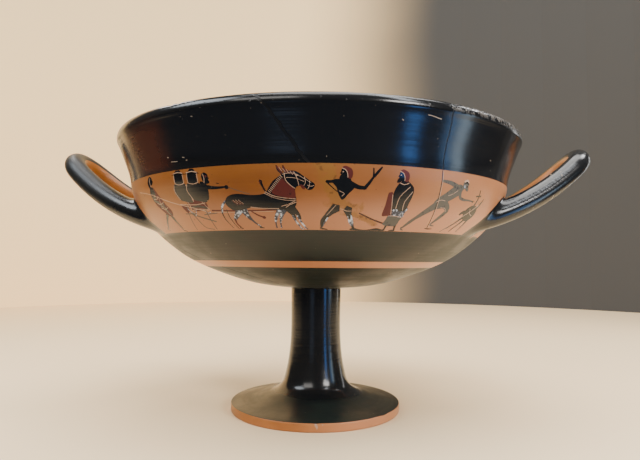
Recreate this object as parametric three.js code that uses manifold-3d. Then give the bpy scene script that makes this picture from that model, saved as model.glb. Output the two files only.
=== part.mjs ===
// An ancient black-figured drinking cup (kylix): a wide bowl with a flaring lip and two
// upswept loop handles, on a tall hollow stem and a broad disc foot. The potter joins the
// bowl, stem, foot and handles before firing, so the cup is one solid.
// Millimetres, +Z up, origin at the centre of the standing surface, handles along X.
import * as THREE from "three";
import Module from "manifold-3d";
import { mergeVertices } from "three/addons/utils/BufferGeometryUtils.js";

// Driving dimensions
const RIM_R = 120; // outer radius of the lip
const RIM_Z = 159.4; // height of the cup
const LIP_WALL = 3.8; // wall thickness at the lip
const FLOOR_WALL = 6.6; // wall thickness in the middle of the bowl
const FLOOR_Z = 79.4; // lowest point inside the bowl
const FOOT_R = 51; // radius of the foot where it stands
const FOOT_EDGE_H = 5; // height of the foot's upright edge
const RING_INNER_R = 36; // the flat standing ring runs from here to FOOT_R
const STEM_R = 15.1; // radius of the upper stem
const STEM_TOP_Z = 72.6; // where the stem meets the bowl
const STEM_SHIFT_X = -1.5; // the potter set the stem and foot a little off the bowl's axis
const STEM_HOLLOW_TOP_Z = 60; // top of the cone hollowed out of the foot and stem

const HANDLE_R = 6.1; // radius of the round handle section
const HANDLE_ROOT_X = 97.3; // centre line of a handle where it meets the wall
const HANDLE_ROOT_Y = 39; // half the distance between the two roots of one handle
const HANDLE_ROOT_Z = 114.5;
const HANDLE_EMBED = 13; // how far the centre line runs on, straight in through the wall
const HANDLE_REACH = 69.9; // length of a handle from root to tip along its own slope
const HANDLE_TIP_R = 19.4; // radius of the round end of the loop, on the centre line
const HANDLE_ROOT_SLOPE = THREE.MathUtils.degToRad(18.5);
const HANDLE_TIP_SLOPE = THREE.MathUtils.degToRad(46);
const ROOT_FLARE = 0.4; // how much thicker a handle is where it is smoothed on to the wall
const ROOT_FLARE_LENGTH = 9;

const TURN_STEPS = 56; // facets round the cup
const BOWL_STEPS = 18; // facets up the bowl and lip
const STEM_STEPS = 12; // facets up the foot and stem
const HANDLE_STEPS = 36;
const HANDLE_SIDES = 12;
const LIP_ROUNDING = 1.4; // how far the rounded lip turns in, outside and inside

// Outlines as [radius, height], each from the bottom up.
const STEM_OUTLINE = [
  [FOOT_R - 0.7, FOOT_EDGE_H],
  [38, 7],
  [27.5, 10.2],
  [20.6, 15],
  [17.6, 24],
  [15.8, 36],
  [STEM_R, 50],
  [STEM_R + 0.2, STEM_TOP_Z],
];
const BOWL_OUTLINE = [
  [STEM_R + 1.9, STEM_TOP_Z + 0.2],
  [42.6, 76.8],
  [69.8, 86.4],
  [86.2, 96],
  [101.6, 110.4],
  [109.8, 124.8],
  [112.4, 136.8],
  [117.2, 151.2],
  [RIM_R, RIM_Z - LIP_ROUNDING],
];
const STEM_HOLLOW_OUTLINE = [
  [RING_INNER_R - 1.5, 2],
  [23, 4.4],
  [13.5, 10],
  [10, 24],
  [8, 42],
  [5, STEM_HOLLOW_TOP_Z - 1.5],
];

const CLAY = new THREE.MeshStandardMaterial({ color: 0x1b1c1d, roughness: 0.2, metalness: 0 });

const wasm = await Module();
wasm.setup();

// Points on a smooth curve through the given outline.
function smoothOutline(outline, steps) {
  const curve = new THREE.SplineCurve(outline.map(([r, z]) => new THREE.Vector2(r, z)));
  return curve.getPoints(steps);
}

// A solid of revolution about Z from a profile that starts and ends on the axis.
function turnedSolid(profile) {
  const geometry = new THREE.LatheGeometry(profile, TURN_STEPS);
  geometry.rotateX(Math.PI / 2);
  return toSolid(geometry);
}

// Merges shared corners, drops the flat triangles on the axis and makes a manifold solid.
function toSolid(geometry) {
  const bare = geometry.clone();
  bare.deleteAttribute("normal");
  bare.deleteAttribute("uv");
  const merged = mergeVertices(bare);
  const corners = merged.index.array;
  const triangles = [];
  for (let i = 0; i < corners.length; i += 3) {
    const [a, b, c] = corners.slice(i, i + 3);
    if (a !== b && b !== c && c !== a) triangles.push(a, b, c);
  }
  const mesh = new wasm.Mesh({
    numProp: 3,
    vertProperties: new Float32Array(merged.attributes.position.array),
    triVerts: new Uint32Array(triangles),
  });
  return new wasm.Manifold(mesh);
}

// A geometry made from the triangles of a manifold solid.
function toGeometry(solid) {
  const mesh = solid.getMesh();
  const geometry = new THREE.BufferGeometry();
  geometry.setAttribute("position", new THREE.BufferAttribute(mesh.vertProperties, mesh.numProp));
  geometry.setIndex(new THREE.BufferAttribute(mesh.triVerts, 1));
  geometry.computeVertexNormals();
  return geometry;
}

// Foot and stem, run up into the floor of the bowl, not yet hollowed.
function footAndStem() {
  const form = turnedSolid([
    new THREE.Vector2(0, 0),
    new THREE.Vector2(FOOT_R, 0),
    ...smoothOutline(STEM_OUTLINE, STEM_STEPS),
    new THREE.Vector2(STEM_R + 1.4, STEM_TOP_Z + 0.9),
    new THREE.Vector2(0, STEM_TOP_Z + 0.9),
  ]);
  return form.translate([STEM_SHIFT_X, 0, 0]);
}

// Bowl and lip as one form, not yet hollowed.
function bowlForm() {
  return turnedSolid([
    new THREE.Vector2(0, STEM_TOP_Z),
    ...smoothOutline(BOWL_OUTLINE, BOWL_STEPS),
    new THREE.Vector2(RIM_R - 0.4, RIM_Z - 0.4),
    new THREE.Vector2(RIM_R - LIP_ROUNDING, RIM_Z),
    new THREE.Vector2(0, RIM_Z),
  ]);
}

// The inside of the bowl: the outer curve moved in by the wall, down to a shallow floor.
function bowlHollow() {
  const outside = new THREE.SplineCurve(BOWL_OUTLINE.map(([r, z]) => new THREE.Vector2(r, z)));
  const wall = [];
  for (let i = 0; i < BOWL_STEPS; i += 1) {
    const t = i / BOWL_STEPS;
    const tangent = outside.getTangent(t);
    const thickness = THREE.MathUtils.lerp(FLOOR_WALL, LIP_WALL, Math.min(1, t * 1.6));
    const inward = new THREE.Vector2(-tangent.y, tangent.x).multiplyScalar(thickness);
    wall.push(outside.getPoint(t).add(inward));
  }
  const mouthR = RIM_R - LIP_WALL;
  return turnedSolid([
    new THREE.Vector2(0, FLOOR_Z),
    ...wall,
    new THREE.Vector2(mouthR - 0.3, RIM_Z - LIP_ROUNDING),
    new THREE.Vector2(mouthR + 0.7, RIM_Z),
    new THREE.Vector2(mouthR + 0.7, RIM_Z + LIP_WALL),
    new THREE.Vector2(0, RIM_Z + LIP_WALL),
  ]);
}

// The shallow recess under the foot and the narrow cone that runs up inside the stem.
function stemHollow() {
  const hollow = turnedSolid([
    new THREE.Vector2(0, -FOOT_EDGE_H),
    new THREE.Vector2(RING_INNER_R, -FOOT_EDGE_H),
    new THREE.Vector2(RING_INNER_R, 0),
    ...STEM_HOLLOW_OUTLINE.map(([r, z]) => new THREE.Vector2(r, z)),
    new THREE.Vector2(0, STEM_HOLLOW_TOP_Z),
  ]);
  return hollow.translate([STEM_SHIFT_X, 0, 0]);
}

// Centre line of the right-hand handle: seen along its own plane it is two limbs that lean
// together into a round end, and from the side it rises ever more steeply.
class HandleCurve extends THREE.Curve {
  constructor() {
    super();
    const arcCentre = HANDLE_REACH - HANDLE_TIP_R;
    const span = Math.hypot(arcCentre, HANDLE_ROOT_Y);
    this.lean = Math.atan2(HANDLE_ROOT_Y, arcCentre) - Math.asin(HANDLE_TIP_R / span);
    this.limb = Math.sqrt(span ** 2 - HANDLE_TIP_R ** 2) + HANDLE_EMBED;
    this.arc = HANDLE_TIP_R * (Math.PI - 2 * this.lean);
    this.arcCentre = arcCentre;
  }

  // Place along the loop, as [outward distance, sideways distance] in the handle's own plane.
  flatPoint(t) {
    const length = 2 * this.limb + this.arc;
    const side = t < 0.5 ? -1 : 1;
    const along = t < 0.5 ? t * length : (1 - t) * length;
    if (along < this.limb) {
      const fromWall = along - HANDLE_EMBED;
      const heading = fromWall < 0 ? -Math.atan2(HANDLE_ROOT_Y, HANDLE_ROOT_X) : this.lean;
      const outward = fromWall * Math.cos(heading);
      return [outward, side * (HANDLE_ROOT_Y - fromWall * Math.sin(heading))];
    }
    const turn = (along - this.limb) / HANDLE_TIP_R + this.lean;
    const outward = this.arcCentre + HANDLE_TIP_R * Math.sin(turn);
    return [outward, side * HANDLE_TIP_R * Math.cos(turn)];
  }

  getPoint(t, target = new THREE.Vector3()) {
    const [outward, sideways] = this.flatPoint(t);
    const bend = (HANDLE_TIP_SLOPE - HANDLE_ROOT_SLOPE) / HANDLE_REACH;
    const slope = HANDLE_ROOT_SLOPE + bend * outward;
    const x = HANDLE_ROOT_X + (Math.sin(slope) - Math.sin(HANDLE_ROOT_SLOPE)) / bend;
    const z = HANDLE_ROOT_Z - (Math.cos(slope) - Math.cos(HANDLE_ROOT_SLOPE)) / bend;
    return target.set(x, sideways, z);
  }
}

// One handle, thickened where its two ends are smoothed on to the bowl.
function handleSolid() {
  const path = new HandleCurve();
  const section = new THREE.Shape().absarc(0, 0, HANDLE_R, 0, 2 * Math.PI);
  const geometry = new THREE.ExtrudeGeometry(section, {
    steps: HANDLE_STEPS,
    curveSegments: HANDLE_SIDES / 2,
    bevelEnabled: false,
    extrudePath: path,
  });
  const centres = path.getSpacedPoints(HANDLE_STEPS);
  const spacing = path.getLength() / HANDLE_STEPS;
  const position = geometry.attributes.position;
  const corner = new THREE.Vector3();
  for (let i = 0; i < position.count; i += 1) {
    corner.fromBufferAttribute(position, i);
    const distances = centres.map((centre) => centre.distanceTo(corner));
    const nearest = distances.indexOf(Math.min(...distances));
    const fromEnd = Math.min(nearest, HANDLE_STEPS - nearest) * spacing;
    const fromWall = Math.max(0, fromEnd - HANDLE_EMBED);
    const swell = 1 + ROOT_FLARE * Math.exp(-((fromWall / ROOT_FLARE_LENGTH) ** 2));
    corner.sub(centres[nearest]).multiplyScalar(swell).add(centres[nearest]);
    position.setXYZ(i, corner.x, corner.y, corner.z);
  }
  return toSolid(geometry);
}

function buildCup() {
  const handle = handleSolid();
  const cup = footAndStem()
    .add(bowlForm())
    .add(handle)
    .add(handle.rotate([0, 0, 180]))
    .subtract(bowlHollow())
    .subtract(stemHollow());
  const mesh = new THREE.Mesh(toGeometry(cup), CLAY);
  mesh.name = "kylix";
  return mesh;
}

const kylix = new THREE.Group();
kylix.add(buildCup());

export default kylix;
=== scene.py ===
"""Looks of an ancient black-figured drinking cup (kylix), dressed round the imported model.

The cup is thrown, joined and fired as one piece, so it is one closed skin: foot, stem, bowl,
lip and two loop handles. What is painted on it is cut into that skin as flush areas, each with
its own finish. Sizes are in metres, +Z is up, and the handles lie along X.
"""
import logging
import math
from dataclasses import dataclass, field
from enum import Enum
from typing import ClassVar

import bpy
import numpy as np
from mathutils import Matrix, Vector
from mathutils.geometry import delaunay_2d_cdt


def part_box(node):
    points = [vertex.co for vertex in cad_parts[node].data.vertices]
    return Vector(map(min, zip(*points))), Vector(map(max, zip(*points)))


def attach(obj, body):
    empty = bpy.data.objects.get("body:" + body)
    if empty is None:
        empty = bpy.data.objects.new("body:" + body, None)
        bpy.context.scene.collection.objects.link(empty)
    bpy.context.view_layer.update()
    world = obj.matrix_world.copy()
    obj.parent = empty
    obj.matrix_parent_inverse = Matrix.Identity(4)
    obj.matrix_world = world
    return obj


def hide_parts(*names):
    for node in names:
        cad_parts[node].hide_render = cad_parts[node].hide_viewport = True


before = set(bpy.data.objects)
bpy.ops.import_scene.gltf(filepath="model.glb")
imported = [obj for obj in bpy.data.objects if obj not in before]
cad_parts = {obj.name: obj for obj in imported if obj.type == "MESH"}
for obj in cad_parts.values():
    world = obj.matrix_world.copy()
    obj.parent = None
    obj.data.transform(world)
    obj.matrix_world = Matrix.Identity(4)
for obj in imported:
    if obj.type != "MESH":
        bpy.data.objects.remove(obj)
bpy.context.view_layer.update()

LOG = logging.getLogger("kylix")
MM = 0.001
NODE = "kylix"
UP = Vector((0, 0, 1))
Spots = list[tuple[float, float]]
Circle = list[tuple[Vector, Vector]]


class Finish(Enum):
    """The finishes of the cup, in the order of its material slots."""

    GLOSS = 0
    CLAY = 1
    RED = 2
    INCISION = 3
    # rubbed black slip whose bluish white is a painted glare
    SILVERED = 4
    # thin dilute paint, also used where a figure is greyed by a painted glare
    THIN_SLIP = 5


# ---- outlines


@dataclass(frozen=True)
class SmoothLine:
    """A smooth line through points given as (radius, height).

    Attributes:
        points: the points that the line passes, in order.
    """

    points: tuple[tuple[float, float], ...]

    def at(self, where: float) -> tuple[float, float]:
        """Gives a point on the line.

        Args:
            where: place on the line, from 0 at its first point to 1 at its last.

        Returns:
            The point as (radius, height).
        """
        last = len(self.points) - 1
        place = min(max(where, 0.0), 1.0) * last
        i = min(int(place), last - 1)
        t = place - i
        p0 = self.points[max(i - 1, 0)]
        p1 = self.points[i]
        p2 = self.points[i + 1]
        p3 = self.points[min(i + 2, last)]
        return tuple(spline_value(a, b, c, d, t) for a, b, c, d in zip(p0, p1, p2, p3))

    def slope(self, where: float) -> tuple[float, float]:
        """Gives the unit direction of the line at a place from 0 to 1, as (radius, height)."""
        step = 1e-4
        r0, z0 = self.at(where - step)
        r1, z1 = self.at(where + step)
        size = math.hypot(r1 - r0, z1 - z0)
        return (r1 - r0) / size, (z1 - z0) / size

    def at_height(self, height: float) -> float:
        """Finds where a line that always climbs, or always falls, has a height.

        Args:
            height: the height.

        Returns:
            The place, from 0 to 1.
        """
        low, high = 0.0, 1.0
        climbs = self.points[-1][1] > self.points[0][1]
        for _ in range(40):
            middle = (low + high) / 2
            if (self.at(middle)[1] < height) == climbs:
                low = middle
            else:
                high = middle
        return (low + high) / 2


def spline_value(a: float, b: float, c: float, d: float, t: float) -> float:
    """Gives one coordinate of a Catmull-Rom curve.

    Args:
        a: the value before the stretch.
        b: the value where the stretch starts.
        c: the value where the stretch ends.
        d: the value after the stretch.
        t: place in the stretch, from 0 to 1.

    Returns:
        The value at that place.
    """
    leave = (c - a) / 2
    arrive = (d - b) / 2
    cubic = 2 * b - 2 * c + leave + arrive
    square = 3 * c - 3 * b - 2 * leave - arrive
    return cubic * t**3 + square * t**2 + leave * t + b


def in_metres(outline: Spots) -> SmoothLine:
    """Makes a smooth line from points in millimetres."""
    return SmoothLine(tuple((r * MM, z * MM) for r, z in outline))


@dataclass(frozen=True)
class CupSizes:
    """The cup's own sizes, in metres; heights are above the table."""

    rim_radius: float
    height: float
    lip_wall: float = 3.8 * MM
    floor_wall: float = 6.6 * MM
    floor_height: float = 79.4 * MM
    crown_depth: float = 4.8 * MM
    foot_radius: float = 51 * MM
    foot_edge: float = 5 * MM
    ring_inner: float = 36 * MM
    stem_radius: float = 15.1 * MM
    stem_top: float = 72.6 * MM
    stem_shift: float = -1.5 * MM
    stem_hollow_top: float = 60 * MM
    line_low: float = 86.0 * MM
    line_high: float = 89.2 * MM
    frieze_low: float = 103.3 * MM
    frieze_high: float = 130.7 * MM
    tondo_radius: float = 15 * MM

    def stem_outline(self) -> SmoothLine:
        """Gives the top of the foot and the stem, from the foot's edge up."""
        edge = self.foot_radius / MM - 0.7
        stem = self.stem_radius / MM
        return in_metres([
            (edge, self.foot_edge / MM), (38, 7), (27.5, 10.2), (20.6, 15), (17.6, 24),
            (15.8, 36), (stem, 50), (stem + 0.2, self.stem_top / MM),
        ])

    def bowl_outline(self) -> SmoothLine:
        """Gives the outside of the bowl and lip, from the stem up."""
        rim = self.rim_radius / MM
        top = (self.height - self.crown_depth) / MM
        return in_metres([
            (self.stem_radius / MM + 1.9, self.stem_top / MM + 0.2), (42.6, 76.8), (69.8, 86.4),
            (86.2, 96), (101.6, 110.4), (109.8, 124.8), (112.4, 136.8), (117.5, 150.6), (rim - 0.7, top),
        ])

    def hollow_outline(self) -> SmoothLine:
        """Gives the hollow under the foot, from the top of its cone down to the standing ring."""
        top = self.stem_hollow_top / MM
        return in_metres([
            (0, top), (5, top - 1.5), (8, 42), (10, 24), (13.5, 10), (23, 4.4),
            (self.ring_inner / MM - 1.5, 2), (self.ring_inner / MM, 0),
        ])


# ---- the skin


class Skin:
    """Gathers the faces of one closed mesh, with a normal and a finish for each corner."""

    GRID = 1e6

    def __init__(self) -> None:
        """Starts with no corners and no faces."""
        self.points: list[tuple[float, float, float]] = []
        self.known: dict[tuple[int, int, int], int] = {}
        self.faces: list[list[int]] = []
        self.normals: list[Vector] = []
        self.finishes: list[int] = []

    def corner(self, point: Vector) -> int:
        """Gives the number of a corner, the same for every face that meets there."""
        key = tuple(round(c * self.GRID) for c in point)
        if key not in self.known:
            self.known[key] = len(self.points)
            self.points.append(tuple(point))
        return self.known[key]

    def face(self, points: list[Vector], normals: list[Vector], finish: Finish) -> None:
        """Adds one face, without the corners that fall together.

        Args:
            points: its corners, counter-clockwise seen from outside.
            normals: the direction that the skin faces at each corner.
            finish: what covers it.
        """
        ring: list[int] = []
        facing: list[Vector] = []
        for point, normal in zip(points, normals):
            number = self.corner(point)
            if number not in ring:
                ring.append(number)
                facing.append(normal)
        if len(ring) > 2:
            self.faces.append(ring)
            self.normals.extend(facing)
            self.finishes.append(finish.value)

    def strip(self, rows: list[Circle], finish: Finish) -> None:
        """Adds the faces between rows of (point, normal) that all have the same length.

        Args:
            rows: the rows, each running to the right where the next one lies above it.
            finish: what covers the faces.
        """
        for low, high in zip(rows, rows[1:]):
            for (a, b), (d, c) in zip(zip(low, low[1:]), zip(high, high[1:])):
                self.face([a[0], b[0], c[0], d[0]], [a[1], b[1], c[1], d[1]], finish)

    def build(self, name: str, materials: list[bpy.types.Material]) -> bpy.types.Object:
        """Makes the object.

        Args:
            name: the piece's name.
            materials: one for each finish, in the order of Finish.

        Returns:
            The new object, linked to the scene.
        """
        mesh = bpy.data.meshes.new(name)
        mesh.from_pydata(self.points, [], self.faces)
        for material in materials:
            mesh.materials.append(material)
        mesh.polygons.foreach_set("material_index", self.finishes)
        mesh.polygons.foreach_set("use_smooth", [True] * len(self.faces))
        mesh.update()
        mesh.normals_split_custom_set([tuple(n) for n in self.normals])
        made = bpy.data.objects.new(name, mesh)
        bpy.context.scene.collection.objects.link(made)
        return made


@dataclass(frozen=True)
class Row:
    """One level circle of the turned form.

    Attributes:
        radius: its radius.
        height: its height.
        facing: the direction that the surface faces there, as (outwards, up).
        shift: how far its centre lies from the bowl's axis, along X.
    """

    radius: float
    height: float
    facing: tuple[float, float]
    shift: float = 0.0

    def around(self, azimuths: list[float]) -> Circle:
        """Lays the circle out in space.

        Args:
            azimuths: where its points lie, in radians from -Y towards +X.

        Returns:
            A point and a normal for each.
        """
        circle = []
        for azimuth in azimuths:
            out = Vector((math.sin(azimuth), -math.cos(azimuth), 0))
            point = out * self.radius + Vector((self.shift, 0, self.height))
            circle.append((point, out * self.facing[0] + UP * self.facing[1]))
        return circle


def rows_along(line: SmoothLine, start: float, end: float, count: int, shift: float = 0) -> list[Row]:
    """Cuts a stretch of an outline into rows.

    Args:
        line: the outline, followed with the material on its left.
        start: where the stretch starts, from 0 to 1.
        end: where it ends.
        count: how many steps it is cut into.
        shift: how far the rows' centres lie from the bowl's axis.

    Returns:
        The rows, from start to end.
    """
    rows = []
    for i in range(count + 1):
        where = start + (end - start) * i / count
        radius, height = line.at(where)
        dr, dz = line.slope(where)
        rows.append(Row(max(radius, 0.0), height, (dz, -dr), shift))
    return rows


def rounded(centre: tuple[float, float], radius: float, start: float, end: float, count: int,
            shift: float = 0) -> list[Row]:
    """Makes the rows of a rounded edge.

    Args:
        centre: centre of the round as (radius, height).
        radius: its own radius.
        start: angle of its first row, from outwards towards up, in degrees.
        end: angle of its last row.
        count: how many steps it is cut into.
        shift: how far the rows' centres lie from the bowl's axis.

    Returns:
        The rows.
    """
    rows = []
    for i in range(count + 1):
        angle = math.radians(start + (end - start) * i / count)
        out, rise = math.cos(angle), math.sin(angle)
        rows.append(Row(centre[0] + radius * out, centre[1] + radius * rise, (out, rise), shift))
    return rows


def bent(start: tuple[float, float], leave: tuple[float, float], end: tuple[float, float],
         arrive: tuple[float, float], count: int) -> list[Row]:
    """Makes the rows of a bend between two places in an outline.

    Args:
        start: where it starts, as (radius, height).
        leave: its direction there, longer for a fuller bend.
        end: where it ends.
        arrive: its direction there.
        count: how many steps it is cut into.

    Returns:
        The rows.
    """
    rows = []
    for i in range(count + 1):
        t = i / count
        place = []
        slope = []
        for a, da, b, db in zip(start, leave, end, arrive):
            cubic = 2 * a - 2 * b + da + db
            square = 3 * b - 3 * a - 2 * da - db
            place.append(cubic * t**3 + square * t**2 + da * t + a)
            slope.append(3 * cubic * t**2 + 2 * square * t + da)
        length = math.hypot(*slope)
        rows.append(Row(place[0], place[1], (slope[1] / length, -slope[0] / length)))
    return rows


# ---- the painted wall


@dataclass(frozen=True)
class Patch:
    """One flat area of the painting.

    Attributes:
        edge: its corners as (along, up), in millimetres.
        finish: what it is painted with.
    """

    edge: np.ndarray
    finish: Finish

    def covers(self, spots: np.ndarray) -> np.ndarray:
        """Tells which spots lie inside the area.

        Args:
            spots: an array of (along, up).

        Returns:
            One truth value for each spot.
        """
        inside = np.zeros(len(spots), dtype=bool)
        low = self.edge.min(axis=0)
        high = self.edge.max(axis=0)
        near = np.all((spots >= low) & (spots <= high), axis=1)
        x, y = spots[near, 0], spots[near, 1]
        turns = np.zeros(len(x), dtype=int)
        for (x0, y0), (x1, y1) in zip(self.edge, np.roll(self.edge, -1, axis=0)):
            if y0 == y1:
                continue
            crosses = (y0 > y) != (y1 > y)
            before = x < (x1 - x0) * (y - y0) / (y1 - y0) + x0
            turns += np.where(crosses & before, np.sign(y1 - y0), 0).astype(int)
        inside[near] = turns != 0
        return inside


class Wall:
    """The outside of the bowl laid out flat: along is the way round, up is the slant height."""

    SPREAD_RADIUS = 107.0

    def __init__(self, sizes: CupSizes) -> None:
        """Measures the outline.

        Args:
            sizes: the cup's sizes.
        """
        self.outline = sizes.bowl_outline()
        self.places = np.linspace(0, 1, 1201)
        spots = np.array([self.outline.at(place) for place in self.places]) / MM
        steps = np.hypot(*np.diff(spots, axis=0).T)
        self.lengths = np.concatenate([[0], np.cumsum(steps)])
        self.lengths -= np.interp(self.outline.at_height(sizes.frieze_low), self.places, self.lengths)
        self.radii = spots[:, 0] * MM
        self.heights = spots[:, 1] * MM

    def up_at(self, height: float) -> float:
        """Gives the slant height, in millimetres over the frieze's lower edge, of a height."""
        return float(np.interp(self.outline.at_height(height), self.places, self.lengths))

    def radius_at(self, height: float) -> float:
        """Gives the bowl's radius at a height."""
        return float(np.interp(height, self.heights, self.radii))

    def spot(self, along: float, up: float) -> tuple[Vector, Vector]:
        """Gives the place in space of a spot on the flat sheet.

        Args:
            along: millimetres from the front, to the right.
            up: slant height in millimetres.

        Returns:
            The point and the normal there.
        """
        where = float(np.interp(up, self.lengths, self.places))
        radius, height = self.outline.at(where)
        dr, dz = self.outline.slope(where)
        azimuth = along / self.SPREAD_RADIUS
        out = Vector((math.sin(azimuth), -math.cos(azimuth), 0))
        return out * radius + UP * height, out * dz - UP * dr

    def laid_out(self, point: Vector) -> tuple[float, float]:
        """Gives the (along, up) of a point on the bowl's outside."""
        where = float(np.interp(point.z, self.heights, self.places))
        azimuth = math.atan2(point.x, -point.y)
        return azimuth * self.SPREAD_RADIUS, float(np.interp(where, self.places, self.lengths))


class Picture:
    """The painted zone: a fine mesh on the wall, cut along the edges of everything painted."""

    ROW_STEP = 2.4
    GROUND_GAP = 0.3
    EDGE_GAP = 0.15
    ROOT_GROWTH = 1.08
    WELD = 1e-3
    SAME_PLACE = 1e-6

    def __init__(self, wall: Wall, sizes: CupSizes, azimuths: list[float]) -> None:
        """Lays out the zone.

        Args:
            wall: the wall that it lies on.
            sizes: the cup's sizes.
            azimuths: the columns that the turned parts above and below are cut into.
        """
        self.wall = wall
        self.low = wall.up_at(sizes.line_high)
        self.high = wall.up_at(sizes.frieze_high)
        self.columns = [azimuth * wall.SPREAD_RADIUS for azimuth in azimuths]
        self.patches: list[Patch] = []
        self.roots: list[Patch] = []

    def paint(self, patches: list[Patch]) -> None:
        """Adds painted areas, later ones over earlier ones, kept just inside the zone."""
        for patch in patches:
            patch.edge[:, 1] = patch.edge[:, 1].clip(self.low + self.EDGE_GAP, self.high - self.EDGE_GAP)
        self.patches.extend(patches)

    def open_for(self, ring: list[Vector]) -> None:
        """Leaves the wall open inside a ring of points, where a handle grows out of it."""
        edge = np.array([self.wall.laid_out(point) for point in ring])
        middle = edge[:, 0].mean()
        self.roots.append(Patch(edge, Finish.CLAY))
        LOG.info("handle root at %.0f mm along", middle)

    def net(self) -> tuple[np.ndarray, list[tuple[int, int]]]:
        """Gathers the points and edges that the mesh is cut along.

        Returns:
            The points as (along, up), and pairs of point numbers.
        """
        count = round((self.high - self.low) / self.ROW_STEP)
        rows = np.linspace(self.low, self.high, count + 1)
        inner = np.array([(u, v) for v in rows[1:-1] for u in self.columns[1:-1]])
        clear = np.abs(inner[:, 1]) > self.GROUND_GAP
        for root in self.roots:
            middle = root.edge.mean(axis=0)
            grown = middle + (root.edge - middle) * self.ROOT_GROWTH
            clear &= ~Patch(grown, root.finish).covers(inner)
        points = [tuple(p) for p in inner[clear]]
        edges = []
        border = [(u, self.low) for u in self.columns]
        border += [(self.columns[-1], v) for v in rows[1:]]
        border += [(u, self.high) for u in reversed(self.columns[:-1])]
        border += [(self.columns[0], v) for v in reversed(rows[1:-1])]
        rings = [border] + [[tuple(p) for p in patch.edge] for patch in self.roots + self.patches]
        for ring in rings:
            first = len(points)
            points.extend(ring)
            size = len(ring)
            edges.extend((first + i, first + (i + 1) % size) for i in range(size))
        first = len(points)
        ground = [(u, 0.0) for u in self.columns]
        points.extend(ground)
        edges.extend((first + i, first + i + 1) for i in range(len(ground) - 1))
        return np.array(points), edges

    def flat_on_border(self, corners: np.ndarray) -> np.ndarray:
        """Tells which triangles have no width, with all their corners on one side of the zone."""
        sides = ((0, self.columns[0]), (0, self.columns[-1]), (1, self.low), (1, self.high))
        flat = [(np.abs(corners[:, :, axis] - place) < self.SAME_PLACE).all(axis=1)
                for axis, place in sides]
        return np.any(flat, axis=0)

    def lay(self, skin: Skin) -> list[Circle]:
        """Adds the zone's faces to the skin.

        Args:
            skin: the skin to add to.

        Returns:
            For each handle root, the corners on its ring with their normals, in order round it.
        """
        points, edges = self.net()
        flat = [Vector((u, v)) for u, v in points]
        spots, _, faces, given, _, _ = delaunay_2d_cdt(flat, edges, [], 0, self.WELD)
        exact = np.array([points[old[0]] if old else tuple(new) for new, old in zip(spots, given)])
        faces = np.array(faces)
        faces = faces[~self.flat_on_border(exact[faces])]
        middles = exact[faces].mean(axis=1)
        finishes = np.where(middles[:, 1] < 0, Finish.GLOSS.value, Finish.CLAY.value)
        for patch in self.patches:
            finishes[patch.covers(middles)] = patch.finish.value
        hole = np.zeros(len(faces), dtype=bool)
        rings = []
        placed = [self.wall.spot(u, v) for u, v in exact]
        for root in self.roots:
            inside = root.covers(middles)
            hole |= inside
            rings.append([placed[i] for i in border_of(faces[inside])])
        for face, finish, gone in zip(faces, finishes, hole):
            if gone:
                continue
            a, b, c = exact[face]
            turned = (b[0] - a[0]) * (c[1] - a[1]) - (b[1] - a[1]) * (c[0] - a[0])
            ring = list(face) if turned > 0 else list(face[::-1])
            skin.face([placed[i][0] for i in ring], [placed[i][1] for i in ring], Finish(finish))
        LOG.info("painted wall: %d faces", len(faces))
        return rings


def border_of(faces: np.ndarray) -> list[int]:
    """Finds the outer border of a patch of triangles.

    Args:
        faces: the triangles' corner numbers.

    Returns:
        The numbers of the corners on the border, in order.
    """
    sides: dict[tuple[int, int], int] = {}
    for face in faces:
        for a, b in zip(face, np.roll(face, -1)):
            key = (min(a, b), max(a, b))
            sides[key] = sides.get(key, 0) + 1
    links: dict[int, list[int]] = {}
    for (a, b), times in sides.items():
        if times == 1:
            links.setdefault(int(a), []).append(int(b))
            links.setdefault(int(b), []).append(int(a))
    start = next(iter(links))
    ring = [start]
    ahead = links[start][0]
    while ahead != start:
        behind = ring[-1]
        ring.append(ahead)
        ahead = next(other for other in links[ahead] if other != behind)
    return ring


# ---- the handles


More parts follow.
